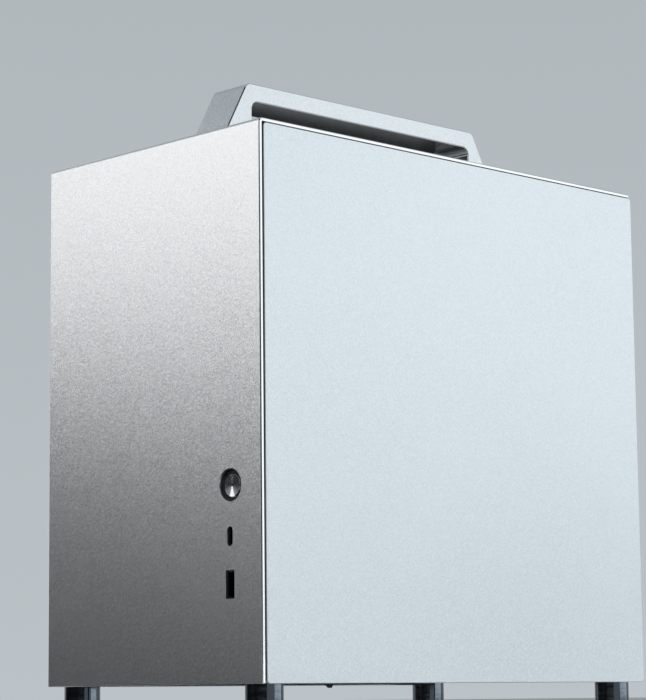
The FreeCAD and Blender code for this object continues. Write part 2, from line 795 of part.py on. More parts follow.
def power_switch():
    """A right-angle push switch on the control board, with a bore for the button's stem."""
    low, high = button_z - 3.5, button_z + 3.5
    body = block(control_x - 3.1, control_board_x, switch_front, switch_front + 7, low, high)
    bore = rod(V(control_x, switch_front - 1, button_z), Y, 1.7 + button_gap, 1 + 1.2 + button_travel + 0.8)
    return body.cut(bore)


def control_board():
    """The upright circuit board that carries the switch and the two sockets."""
    front, back = wall_y + 2.2, wall_y + sheet + 26
    board = block(control_board_x, bracket_tab_x, front, back, control_low + 1, control_high - 1)
    ring_room = block(
        control_board_x - 1, bracket_tab_x + 1, front - 1, ring_back + 0.3, button_z - 11.5, control_high
    )
    holes = [screw_hole(point, X, 1.55) for point in control_screw_spots()]
    return board.cut([ring_room] + holes)


def usb_a_port():
    """A metal socket shell with a tongue inside, mouth towards the front."""
    wide, tall = usb_a_shell
    front, length = front_y + socket_setback, 17.0
    x0, x1, z0, z1 = control_x - wide / 2, control_x + wide / 2, usb_a_z - tall / 2, usb_a_z + tall / 2
    shell = block(x0, x1, front, front + length, z0, z1)
    room = shell_room(control_x, usb_a_z, wide, tall, 0.35, front, 13.0)
    tongue = block(control_x + 0.2, control_x + 2.0, front + 3.0, front + 14, usb_a_z - 5.4, usb_a_z + 5.4)
    return joined([shell.cut(room), tongue])


def shell_room(x, z, wide, tall, wall, front, deep):
    """The inside of a socket shell."""
    half, rise = wide / 2 - wall, tall / 2 - wall
    return block(x - half, x + half, front - 1, front + deep, z - rise, z + rise)


def usb_c_port():
    """A rounded metal socket shell with a thin tongue, on two solder legs."""
    wide, tall = usb_c_shell
    front, length = front_y + socket_setback, 10.5
    x0, x1, z0, z1 = control_x - wide / 2, control_x + wide / 2, usb_c_z - tall / 2, usb_c_z + tall / 2
    shell = rounded_block(x0, x1, front, front + length, z0, z1, Y, wide / 2 - 0.01)
    room = rounded_block(x0 + 0.3, x1 - 0.3, front - 1, front + 7, z0 + 0.3, z1 - 0.3, Y, wide / 2 - 0.31)
    tongue = block(control_x - 0.35, control_x + 0.35, front + 1.2, front + 8, usb_c_z - 3.3, usb_c_z + 3.3)
    legs = [
        block(control_x, control_board_x, front + 5, front + 10, z - 0.6, z + 0.6)
        for z in (usb_c_z - 3.2, usb_c_z + 3.2)
    ]
    legs = [leg.cut(room) for leg in legs]
    return joined([shell.cut(room), tongue] + legs)


# ================================================================ motherboard
def motherboard():
    board = block(board_face, board_back, board_front, board_rear, board_bottom, board_top)
    return board.cut([screw_hole(V(board_back, y, z), X, 1.6) for y, z in board_spots()])


def board_standoffs():
    """Hex standoffs screwed into the tray."""
    posts = []
    for y, z in board_spots():
        hexagon = Part.makePolygon(
            [V(3.0 * math.cos(k * math.pi / 3), 3.0 * math.sin(k * math.pi / 3), 0) for k in range(7)]
        )
        post = Part.Face(hexagon).extrude(Z * standoff_height)
        post = joined([post, rod(V(), -Z, 1.5, 3.0)])
        post = post.cut(rod(V(0, 0, 1.0), Z, 1.5 + touch, 10))
        posts.append(turned(post, V(tray_x, y, z), -X))
    return group(posts)


def cpu_package():
    """Socket frame, substrate and lid as one stack."""
    stack = [(22.5, 3.0), (18.8, 1.2), (17.0, 2.4)]
    x, pieces = board_face, []
    for half, height in stack:
        pieces.append(block(x - height, x, cpu_y - half, cpu_y + half, cpu_z - half, cpu_z + half))
        x -= height
    return joined(pieces)


cpu_top = board_face - 6.6
dimm_y = (board_front + 8.0, board_front + 17.5)
dimm_low = board_bottom + 22.0
dimm_length = 133.35
slot_rear = board_rear - 44.0
slot_length = 89.0


def board_connectors():
    """Memory slots, card slot and the main power header."""
    pieces = []
    for y in dimm_y:
        slot = block(board_face - 7, board_face, y - 3.2, y + 3.2, dimm_low - 4, dimm_low + dimm_length + 4)
        low, high = dimm_low - touch, dimm_low + dimm_length + touch
        groove = block(board_face - 8, board_face - 2, y - 0.75, y + 0.75, low, high)
        pieces.append(slot.cut(groove))
    middle = card_z + card_thick / 2
    slot = block(board_face - 11.2, board_face, slot_rear - slot_length, slot_rear, middle - 3.7, middle + 3.7)
    groove = block(
        board_face - 12, board_face - 3, slot_rear - slot_length + 2, slot_rear - 2, middle - 0.9, middle + 0.9
    )
    pieces.append(slot.cut(groove))
    y, z = main_header
    header = block(board_face - 12.8, board_face, y - 4.8, y + 4.8, z - 26, z + 26)
    room = block(board_face - 14, board_face - 3, y - 4.0, y + 4.0, z - 25.2, z + 25.2)
    pieces.append(header.cut(room))
    return group(pieces)


main_header = (board_front + 30.0, board_bottom + 60.0)


def memory_modules():
    """Two memory modules with plain heat spreaders."""
    modules = []
    for y in dimm_y:
        stick = block(board_face - 31.5, board_face - 2.1, y - 0.65, y + 0.65, dimm_low, dimm_low + dimm_length)
        spreader = block(board_face - 34, board_face - 8, y - 3.4, y + 3.4, dimm_low, dimm_low + dimm_length)
        trim = [
            block(board_face - 35, board_face - 30, y - 4, y + 4, dimm_low + a, dimm_low + a + 14)
            for a in (20, 60, 100)
        ]
        modules.append(joined([stick, spreader.cut(trim)]))
    return group(modules)


def vrm_heatsink():
    """A finned block beside the processor, behind the rear sockets."""
    y0, y1 = cpu_y + 33, cpu_y + 47
    z0, z1 = cpu_z - 42, cpu_z + 50
    sink = block(board_face - 22, board_face - 1.5, y0, y1, z0, z1)
    feet = block(board_face - 2, board_face, y0 + 2, y1 - 2, z0 + 4, z1 - 4)
    grooves = [
        block(board_face - 23, board_face - 9, y0 - 1, y1 + 1, z, z + 2.4)
        for z in frange(z0 + 5, z1 - 6, 6.0)
    ]
    return joined([sink, feet]).cut(grooves)


def frange(start, stop, step):
    """Evenly spaced values from start, up to stop."""
    return [start + step * i for i in range(int((stop - start) / step) + 1)]


def m2_drive():
    """A solid-state drive card under its own cover, between the processor and the card slot."""
    z = board_bottom + 26.0
    y0 = board_rear - 115.8
    y1 = y0 + 80.0
    cover = block(board_face - 9.5, board_face - 4.4, y0, y1, z - 11, z + 11)
    card = block(board_face - 4.4, board_face - 3.6, y0, y1, z - 11, z + 11)
    socket = block(board_face - 4.5, board_face, y1 - 4, y1 + 3, z - 11, z + 11)
    post = rod(V(board_face, y0 + 3, z), -X, 2.4, 3.6)
    grooves = [
        block(board_face - 10, board_face - 7.5, y0 - 1, y1 + 1, z + a, z + a + 1.6)
        for a in frange(-8, 7, 4.0)
    ]
    return joined([cover.cut(grooves), card, socket, post])


rear_ports = (
    # kind, drop from the top of the aperture, size along the aperture, height off the board
    ("usb_pair", 17.0, 14.6, 15.6),
    ("usb_pair", 35.0, 14.6, 15.6),
    ("video", 54.5, 15.4, 12.0),
    ("network", 74.5, 16.4, 13.4),
    ("usb_pair", 94.5, 14.6, 15.6),
    ("audio", 119.0, 14.0, 12.6),
)


def port_z(drop):
    return aperture[3] - drop


def rear_io_ports():
    """The sockets along the motherboard's rear edge, each with its cavity."""
    shells = []
    front, mouth = board_rear - 14.0, rear_outer + 0.4
    for kind, drop, tall, off in rear_ports:
        z = port_z(drop)
        x_far = board_face - off
        body = block(x_far, board_face, front, mouth, z - tall / 2, z + tall / 2)
        cuts = []
        if kind == "usb_pair":
            for x in (board_face - 4.2, board_face - 11.6):
                cuts.append(block(x - 2.6, x + 2.6, mouth - 10, mouth + 1, z - 6.3, z + 6.3))
        elif kind == "video":
            cuts.append(block(board_face - 8.6, board_face - 3.4, mouth - 10, mouth + 1, z - 7.0, z + 7.0))
        elif kind == "network":
            cuts.append(block(board_face - 11.0, board_face - 2.4, mouth - 11, mouth + 1, z - 6.0, z + 6.0))
        else:
            cuts.append(rod(V(board_face - 6.3, mouth - 12, z), Y, 1.8, 14))
        socket = body.cut(cuts)
        if kind == "usb_pair":
            tongues = [
                block(x + 0.4, x + 2.2, mouth - 10, mouth - 4.6, z - 5.4, z + 5.4)
                for x in (board_face - 4.2, board_face - 11.6)
            ]
            socket = joined([socket] + tongues)
        shells.append(socket)
    return group(shells)


def io_shield():
    """The thin plate round the rear sockets, sprung into the rear panel's aperture."""
    x0, x1, z0, z1 = aperture
    plate = block(x0 + touch, x1 - touch, rear_inner - 0.2, rear_outer - 0.2, z0 + touch, z1 - touch)
    cuts = []
    for kind, drop, tall, off in rear_ports:
        z = port_z(drop)
        low, high = z - tall / 2 - 0.2, z + tall / 2 + 0.2
        cuts.append(block(board_face - off - 0.2, board_face + 0.2, rear_inner - 1, rear_outer + 1, low, high))
    plate = plate.cut(cuts)
    rim = block(x0 + touch, x1 - touch, rear_inner - 3, rear_inner - 0.2, z0 + touch, z1 - touch)
    rim = rim.cut(block(x0 + 1, board_back + 0.6, rear_inner - 4, rear_inner, z0 + 1, z1 - 1))
    rim = rim.cut(block(board_face - 1, x1 + 1, rear_inner - 4, rear_inner, z0 - 1, z1 + 1))
    return joined([plate, rim])


# ================================================================ processor cooler
fin_y0, fin_y1 = cpu_y - 28.0, cpu_y + 28.0
fin_first, fin_count, fin_pitch, fin_wall = board_face - 40.0, 27, 3.2, 0.6
pipe_radius = 3.0
pipe_rows = (-26.0, -9.0, 9.0, 26.0)
pipe_spread = 24.0
pipe_lift = 6.0  # rise and reach of the turn out of the cold plate
plate_half = 14.0


def cooler_base():
    """The cold plate and its mounting bridge with four posts."""
    plate = block(cpu_top - 9.0, cpu_top, cpu_y - plate_half, cpu_y + plate_half, cpu_z - 20, cpu_z + 20)
    channels = [
        rod(V(cpu_top - 4.6, cpu_y - 21, cpu_z + row * 0.42), Y, pipe_radius + touch, 42) for row in pipe_rows
    ]
    bars = []
    for a in (-1, 1):
        y = cpu_y + a * 24
        bars.append(block(cpu_top - 6.5, cpu_top - 4.0, y - 6, y + 6, cpu_z - 42, cpu_z - 34))
        bars.append(block(cpu_top - 6.5, cpu_top - 4.0, y - 6, y + 6, cpu_z + 34, cpu_z + 42))
        for b in (-1, 1):
            bars.append(rod(V(board_face, y, cpu_z + b * 38), -X, 2.6, board_face - cpu_top + 9))
    bridges = [
        block(cpu_top - 9.0, cpu_top - 7.8, cpu_y - 28, cpu_y + 28, cpu_z + b * 38 - 4, cpu_z + b * 38 + 4)
        for b in (-1, 1)
    ]
    spine = block(cpu_top - 10.2, cpu_top - 7.8, cpu_y - 5, cpu_y + 5, cpu_z - 42, cpu_z + 42)
    return joined([plate.cut(channels)] + bars + bridges + [spine])


def cooler_heat_pipes():
    """Four U-shaped pipes from the cold plate up through the fins."""
    pipes = []
    top = fin_first - fin_pitch * (fin_count - 1) - 5
    for row in pipe_rows:
        low = V(cpu_top - 4.6, 0, cpu_z + row * 0.42)
        points = [
            V(top, cpu_y - pipe_spread, cpu_z + row),
            V(fin_first + 10, cpu_y - pipe_spread, cpu_z + row),
            V(low.x - pipe_lift, cpu_y - pipe_spread, low.z),
            V(low.x, cpu_y - pipe_spread + pipe_lift, low.z),
            V(low.x, cpu_y + pipe_spread - pipe_lift, low.z),
            V(low.x - pipe_lift, cpu_y + pipe_spread, low.z),
            V(fin_first + 10, cpu_y + pipe_spread, cpu_z + row),
            V(top, cpu_y + pipe_spread, cpu_z + row),
        ]
        pipes.append(cable(points, pipe_radius))
    return group(pipes)


def cooler_fin_stack():
    """Thin fins threaded on the heat pipes."""
    fins = []
    fin = block(0, fin_wall, fin_y0, fin_y1, cpu_z - 46, cpu_z + 46)
    holes = [
        rod(V(-1, cpu_y + a * pipe_spread, cpu_z + row), X, pipe_radius + touch, 3)
        for row in pipe_rows
        for a in (-1, 1)
    ]
    fin = fin.cut(holes)
    for i in range(fin_count):
        copy = fin.copy()
        copy.translate(V(fin_first - fin_pitch * i - fin_wall, 0, 0))
        fins.append(copy)
    return group(fins)


cooler_fan_x = (fin_first + fin_first - fin_pitch * (fin_count - 1)) / 2
cooler_fan_y = fin_y0 - loose


# ================================================================ graphics card
card_rear = rear_inner - sheet - 0.6
card_front = card_rear - card_length
card_edge = board_face - 11.2 - 0.6
card_far = card_edge - card_height
shroud_low = card_z - shroud_depth
card_fan_y = (card_front + 42.0, card_rear - 44.0)
card_middle = (card_edge + card_far) / 2


def gpu_circuit_board():
    board = block(card_far, card_edge, card_front + 2, card_rear, card_z, card_z + card_thick)
    y0, y1 = slot_rear - slot_length + 2.3, slot_rear - 2.3
    fingers = block(card_edge - 1, board_face - 3.4, y0, y1, card_z, card_z + card_thick)
    middle = card_rear - 96.4
    die = block(card_middle - 17, card_middle + 17, middle - 17, middle + 17, card_z - 2.2, card_z)
    memory = [
        block(card_middle - 30, card_middle - 22, middle + a, middle + a + 12, card_z - 1.4, card_z)
        for a in (-29, -11, 7, 25)
    ]
    return joined([board, fingers, die] + memory)


def gpu_heatsink():
    """Base plate and upright fins inside the shroud."""
    top, low = card_z - 2.2 - touch, shroud_low + 18.0
    rear = card_rear - 15
    base = block(card_far + 8, card_edge - 8, card_front + 8, rear, top - 3, top)
    fins = [
        block(card_far + 8, card_edge - 8, y, y + 0.8, low, top - 2)
        for y in frange(card_front + 9, rear - 2, 4.0)
    ]
    middle = card_rear - 96.4
    base = base.cut(block(card_middle - 31, card_middle - 21, middle - 31, middle + 39, top - 0.6, top + 1))
    return joined([base] + fins)


def gpu_spider(y):
    """Bearing post and three arms of one card fan, hanging in the shroud's opening, round -Z."""
    centre = V(card_middle, y, shroud_low + 16.0)
    disc = rod(centre, -Z, 15.5, 2.4)
    post = rod(centre, -Z, 3.6, 11.0)
    arm = block(14, card_fan_radius + 3, -2, 2, -2.4, 0)
    arms = [turned(arm, centre, Z, 30 + 120 * i) for i in range(3)]
    bore = rod(centre + V(0, 0, -3.0), -Z, fan_shaft_radius + shaft_clearance, 12)
    return joined([disc, post] + arms).cut(bore)


def gpu_shroud():
    """The card's lower cover with two round fan openings."""
    outer = block(card_far - 3, card_edge - 1, card_front, card_rear - 1, shroud_low, card_z - 0.3)
    outer = rounded(outer, Z, 6.0)
    low_edges = [e for e in outer.Edges if abs(e.CenterOfMass.z - shroud_low) < 1e-6]
    outer = outer.makeFillet(1.5, low_edges)
    room = rounded_block(
        card_far - 1, card_edge - 3, card_front + 2, card_rear + 2, shroud_low + 2, card_z + 1, Z, 4.0
    )
    shroud = outer.cut(room)
    for y in card_fan_y:
        ring = rod(V(card_middle, y, shroud_low), Z, card_fan_radius + 3, 16.0)
        ring = ring.cut(rod(V(card_middle, y, shroud_low - 1), Z, card_fan_radius + fan_tip_gap, 18.0))
        shroud = shroud.cut(rod(V(card_middle, y, shroud_low - 1), Z, card_fan_radius + fan_tip_gap, 5.0))
        spider = gpu_spider(y).common(rod(V(card_middle, y, shroud_low), Z, card_fan_radius + 2.5, 17))
        shroud = joined([shroud, ring, spider])
    return shroud


def gpu_rotor():
    return rotor(16.0, card_fan_radius, 3.2, 14.4, 4.0, 9, 32)


def gpu_bracket():
    """The card's two-slot end plate with socket windows and a screw tab."""
    y1 = rear_inner - touch
    y0 = y1 - 1.0
    z1, z0 = card_slot_middle(0) + 7.2, card_slot_middle(slot_count - 1) - 7.2
    plate = block(card_tab_x - touch - 1.0, board_face - 0.6, y0, y1, z0, z1)
    cuts = [
        block(x - 9.2, x + 9.2, y0 - 1, y1 + 1, z - 3.4, z + 3.4) for x, z in display_spots()
    ]
    for x in frange(card_tab_x + 12, board_face - 14, 7.0):
        z = card_slot_middle(1)
        cuts.append(block(x, x + 3.5, y0 - 1, y1 + 1, z - 5, z + 5))
    plate = plate.cut(cuts)
    tabs = []
    for i in range(slot_count):
        z = card_slot_middle(i)
        tab = block(card_tab_x - touch - 1.0, card_tab_x - touch, y0, rear_outer + 9, z - 6.0, z + 6.0)
        hole = rod(V(card_tab_x - 3, rear_outer + 5, z), X, 2.0, 5)
        tabs.append(tab.cut(hole))
    lug = block(card_tab_x - 1, card_tab_x + 5, y0 - 6, y0, card_z - 1.2, card_z - touch)
    return joined([plate, lug] + tabs)


def display_spots():
    """Centres of the card's picture sockets, across the upper slot."""
    return [(card_edge - 14 - 23.0 * i, card_slot_middle(0)) for i in range(4)]


def gpu_display_ports():
    """Metal socket shells that stand through the card's end plate."""
    shells = []
    for x, z in display_spots():
        top = card_z - touch
        body = block(x - 9, x + 9, card_rear - 12, rear_outer + 0.2, z - 3.2, z + 3.2)
        legs = block(x - 7, x + 7, card_rear - 10, card_rear - 1, z + 3, top)
        room = block(x - 8.2, x + 8.2, rear_outer - 9, rear_outer + 1, z - 2.6, z + 2.6)
        shells.append(joined([body, legs]).cut(room))
    return group(shells)


# ================================================================ power supply
psu_back = psu_y + psu_depth
psu_low = psu_top - psu_length
psu_fan_z = psu_low + psu_length / 2
psu_inlet_x = 40.0
psu_rocker_x = 4.0
psu_face_y = psu_y + psu_depth / 2


def psu_housing():
    """A steel box: fan opening at the rear, socket and rocker above, leads out below."""
    wall = 1.2
    half = psu_width / 2
    box = block(-half, half, psu_y, psu_back, psu_low, psu_top)
    room = block(-half + wall, half - wall, psu_y + wall, psu_back - wall, psu_low + wall, psu_top - wall)
    cuts = [room, rod(V(0, psu_back - 3, psu_fan_z), Y, fan_bore(fan_large), 6)]
    for a, b in square_spots(fan_large_holes):
        cuts.append(rod(V(a, psu_back - 3, psu_fan_z + b), Y, 2.0, 6))
    y = psu_face_y
    cuts.append(block(psu_inlet_x - 13.6, psu_inlet_x + 13.6, y - 10, y + 10, psu_top - 3, psu_top + 1))
    cuts.append(block(psu_rocker_x - 6.6, psu_rocker_x + 6.6, y - 9.6, y + 9.6, psu_top - 3, psu_top + 1))
    for x in frange(-60, -20, 8.0):
        cuts.append(rounded_block(x - 2, x + 2, y - 20, y + 20, psu_top - 3, psu_top + 1, Z, 1.9))
    cuts.append(rounded_block(-30, 50, y - 10, y + 14, psu_low - 1, psu_low + 3, Z, 3.0))
    for p in psu_screw_spots():
        cuts.append(rod(V(p.x, p.y, psu_top - 4), Z, 1.55, 6))
    box = box.cut(cuts)
    bezel = block(psu_rocker_x - 7.6, psu_rocker_x + 7.6, y - 10.6, y + 10.6, psu_top - 7, psu_top - wall)
    bezel = bezel.cut(block(psu_rocker_x - 6.6, psu_rocker_x + 6.6, y - 9.6, y + 9.6, psu_top - 7, psu_top))
    socket = block(psu_inlet_x - 13.6, psu_inlet_x + 13.6, y - 10, y + 10, psu_top - 20, psu_top)
    socket = socket.cut(block(psu_inlet_x - 12, psu_inlet_x + 12, y - 8.4, y + 8.4, psu_top - 17, psu_top + 1))
    pins = [
        block(psu_inlet_x + a - 2, psu_inlet_x + a + 2, y + b - 1, y + b + 1, psu_top - 18, psu_top - 3)
        for a, b in ((-7, 1.5), (0, -2.5), (7, 1.5))
    ]
    pivots = [
        rod(V(psu_rocker_x + a * 7.0, y, psu_top - rocker_depth), -X * a, 1.2, 1.6) for a in (-1, 1)
    ]
    return joined([box, bezel, socket] + pins + pivots)


rocker_depth = 3.4
rocker_tilt = 9.0


def psu_circuit():
    """The supply's board with its transformer, coils, capacitors and two heat sinks, on four posts."""
    back = psu_y + 1.2
    board_y = back + 6.0
    z = psu_fan_z
    pieces = [block(-66, 66, board_y, board_y + 1.6, psu_low + 8, psu_top - 26)]
    for a, b in ((-60, -56), (60, -56), (-60, 38), (60, 38)):
        pieces.append(rod(V(a, back, z + b), Y, 3.0, 6.5))
    top = board_y + 1.6
    pieces.append(block(-18, 18, top, top + 30, z - 20, z + 12))
    pieces.append(block(-14, 14, top, top + 34, z - 16, z + 8))
    for a, b in ((-46, 22), (-20, 26), (46, 20)):
        pieces.append(rod(V(a, top, z + b), Y, 11.0, 34))
    for x in (-34, 30):
        pieces.append(block(x, x + 2.5, top, top + 40, z - 52, z + 8))
        pieces += [block(x - 8, x + 10, top, top + 38, z + b, z + b + 2) for b in frange(-50, 4, 9.0)]
    for a, b in ((-54, -40), (-54, -22), (54, -44), (54, -26), (4, -42), (20, -46)):
        pieces.append(rod(V(a, top, z + b), Y, 5.5, 22))
    return joined(pieces)


def psu_rocker_switch():
    """The rocker of the supply's mains switch, tipped to one side."""
    y = psu_face_y
    lens = extruded(
        [V(0, -8.6, 2.0), V(0, 0, 0.9), V(0, 8.6, 2.0), V(0, 6.0, -2.4), V(0, -6.0, -2.4)],
        {},
        V(-5.2, 0, 0),
        X * 10.4,
    )
    lens = lens.cut(rod(V(-8, 0, 0), X, 1.2 + 0.08, 16))
    lens.rotate(V(), X, rocker_tilt)
    lens.translate(V(psu_rocker_x, y, psu_top - rocker_depth))
    return lens


# ================================================================ power inlet and cables
def ac_inlet():
    """The mains socket in the rear panel: flange outside, body inside, three blades in the cavity."""
    wide, tall = inlet_window
    y = rear_outer
    flange = rounded_block(
        inlet_x - 25, inlet_x + 25, y + touch, y + 3.2, inlet_z - 11.5, inlet_z + 11.5, Y, 3.0
    )
    half, rise = wide / 2 - 0.2, tall / 2 - 0.2
    body = block(inlet_x - half, inlet_x + half, y - 18, y + 3.2, inlet_z - rise, inlet_z + rise)
    room = block(inlet_x - 12, inlet_x + 12, y - 14, y + 4, inlet_z - 8.2, inlet_z + 8.2)
    holes = [
        rod(V(inlet_x + a * inlet_screw_offset, y - 3, inlet_z), Y, 1.6, 8) for a in (-1, 1)
    ]
    blades = [
        block(inlet_x + a - 2, inlet_x + a + 2, y - 15, y - 1.5, inlet_z + b - 1, inlet_z + b + 1)
        for a, b in ((-7, -4.0), (0, 4.0), (7, -4.0))
    ]
    boot = rod(V(inlet_x, y - 17.9, inlet_z), -Y, 6.0, 8.0)
    return joined([joined([flange, body]).cut([room] + holes), boot] + blades)


lead_radius = 3.4


def ac_extension_lead():
    """The mains lead inside the case, from the inlet along the floor and up to the supply's own socket."""
    y = rear_outer - 17.9 - 8.0
    plug_x, plug_y = psu_inlet_x, psu_face_y
    mid = psu_top + 12.5
    side_x = -(psu_width / 2 + lead_radius + 1.1)
    points = [
        V(inlet_x, y, inlet_z),
        V(inlet_x, y - 26, inlet_z),
        V(inlet_x - 6, y - 60, floor_top + 16),
        V(inlet_x - 12, y - 105, floor_top + 9),
        V(inlet_x - 15, y - 150, floor_top + 9),
        V(side_x, plug_y + 28, floor_top + 24),
        V(side_x, plug_y + 6, floor_top + 62),
        V(side_x, plug_y, floor_top + 115),
        V(side_x, plug_y - 2, floor_top + 170),
        V(side_x, plug_y - 1, floor_top + 222),
        V(side_x + 1, plug_y, psu_top + 9),
        V(side_x + 15, plug_y, mid + 3),
        V(side_x + 46, plug_y + 1, mid),
        V(side_x + 84, plug_y, mid),
        V(plug_x - 14, plug_y, mid),
    ]
    lead = cable(points, lead_radius)
    plug = block(plug_x - 14, plug_x + 12.6, plug_y - 8.8, plug_y + 8.8, psu_top + 1.8, roof_z - 2.5)
    plug = rounded(plug, Z, 3.0)
    tip = block(plug_x - 11.4, plug_x + 11.4, plug_y - 7.8, plug_y + 7.8, psu_top - 1.5, psu_top + 2)
    slots = [
        block(plug_x + a - 2.3, plug_x + a + 2.3, plug_y + b - 1.3, plug_y + b + 1.3, psu_top - 4, psu_top + 1)
        for a, b in ((-7, 1.5), (0, -2.5), (7, 1.5))
    ]
    return joined([lead, joined([plug, tip]).cut(slots)])


def atx_power_cable():
    """The sleeved main power bundle from the supply to the motherboard header."""
    y, z = main_header
    gap_y = (psu_back + card_front) / 2
    start = V(30, psu_face_y, psu_low + 3)
    points = [
        start,
        V(30, psu_face_y + 2, psu_low - 14),
        V(28, psu_face_y + 26, psu_low - 24),
        V(22, gap_y - 4, psu_low - 11),
        V(16, gap_y + 2, psu_low + 17),
        V(11, y - 22, z - 8),
        V(12, y - 5, z),
        V(board_face - 34, y, z),
    ]
    bundle = cable(points, 5.0)
    plug = block(board_face - 34, board_face - 13.2, y - 4.6, y + 4.6, z - 24.6, z + 24.6)
    tip = block(board_face - 14, board_face - 4, y - 3.7, y + 3.7, z - 24.6, z + 24.6)
    return joined([bundle, plug, tip])


def gpu_power_cable():
    """The sleeved lead from the supply to the socket at the front end of the graphics card."""
    x, plug_z = -24.0, card_z + card_thick + 5.2
    plug_y = card_front - 4
    points = [
        V(x + 6, psu_face_y + 8, psu_low + 3),
        V(x + 6, psu_face_y + 10, psu_low - 12),
        V(x + 3, psu_face_y + 27, psu_low - 19),
        V(x, plug_y - 16, psu_low - 9),
        V(x, plug_y - 7, plug_z - 1),
        V(x, plug_y, plug_z),
    ]
    plug = block(x - 9, x + 9, plug_y, card_front + 6, card_z + card_thick + touch, card_z + card_thick + 10)
    return joined([cable(points, 3.2), plug])


def front_usb_cable():
    """The lead from the control board to the motherboard."""
    start_z = control_low + 22
    y0 = wall_y + sheet + 20
    x = control_board_x - 5
    plug = block(control_board_x - 8, control_board_x, y0 - 4, y0 + 4, start_z - 6, start_z + 6)
    end_y, end_z = board_front + 22, board_bottom + 8
    header = block(board_face - 10, board_face, end_y - 5, end_y + 5, end_z - 7, end_z + 7)
    points = [
        V(x, y0 + 3, start_z),
        V(x - 3, y0 + 24, start_z - 2),
        V(x - 5, y0 + 46, start_z + 8),
        V(x - 4, y0 + 66, start_z + 29),
        V(board_face - 6.5, end_y - 32, end_z - 7),
        V(board_face - 7.5, end_y - 16, end_z),
        V(board_face - 6.5, end_y - 3, end_z),
    ]
    return joined([plug, cable(points, 2.4), header])


# ================================================================ screws
def small_screws():
    """M3 and M4 pan-head screws: motherboard, control board, feet and inlet."""
    m3 = pan_screw(1.5, 5.0)
    pieces = [turned(m3, V(board_face, y, z), -X) for y, z in board_spots()]
    board_screw = pan_screw(1.5, 4.0)
    pieces += [turned(board_screw, point, -X) for point in control_screw_spots()]
    m4 = pan_screw(foot_screw_radius, 10.0)
    pieces += [turned(m4, V(spot.x, spot.y, floor_top), Z) for spot in foot_spots()]
    for a in (-1, 1):
        pieces.append(turned(m3, V(inlet_x + a * inlet_screw_offset, rear_outer + 3.2, inlet_z), Y))
    return group(pieces)


def case_screws():
    """Coarse pan-head screws: handle, rear fan, power supply, its fan, and the card's tabs."""
    handle_screw = pan_screw(handle_screw_radius, 12.0)
    pieces = [turned(handle_screw, V(p.x, p.y, roof_z), -Z) for p in handle_spots()]
    fan_screw = pan_screw(1.8, 8.0)
    for a, b in square_spots(fan_small_holes):
        pieces.append(turned(fan_screw, V(rear_fan_x + a, rear_outer + 2.1, rear_fan_z + b), Y))
    for a, b in square_spots(fan_large_holes):
        pieces.append(turned(fan_screw, V(a, psu_back + 2.1, psu_fan_z + b), Y))
    short = pan_screw(1.5, 4.0)
    for p in psu_screw_spots():
        pieces.append(turned(short, V(p.x, p.y, psu_top + 1.2), Z))
    thumb = pan_screw(1.7, 4.0)
    for i in range(slot_count):
        pieces.append(turned(thumb, V(card_tab_x - 1.0 - touch, rear_outer + 5, card_slot_middle(i)), -X))
    return group(pieces)


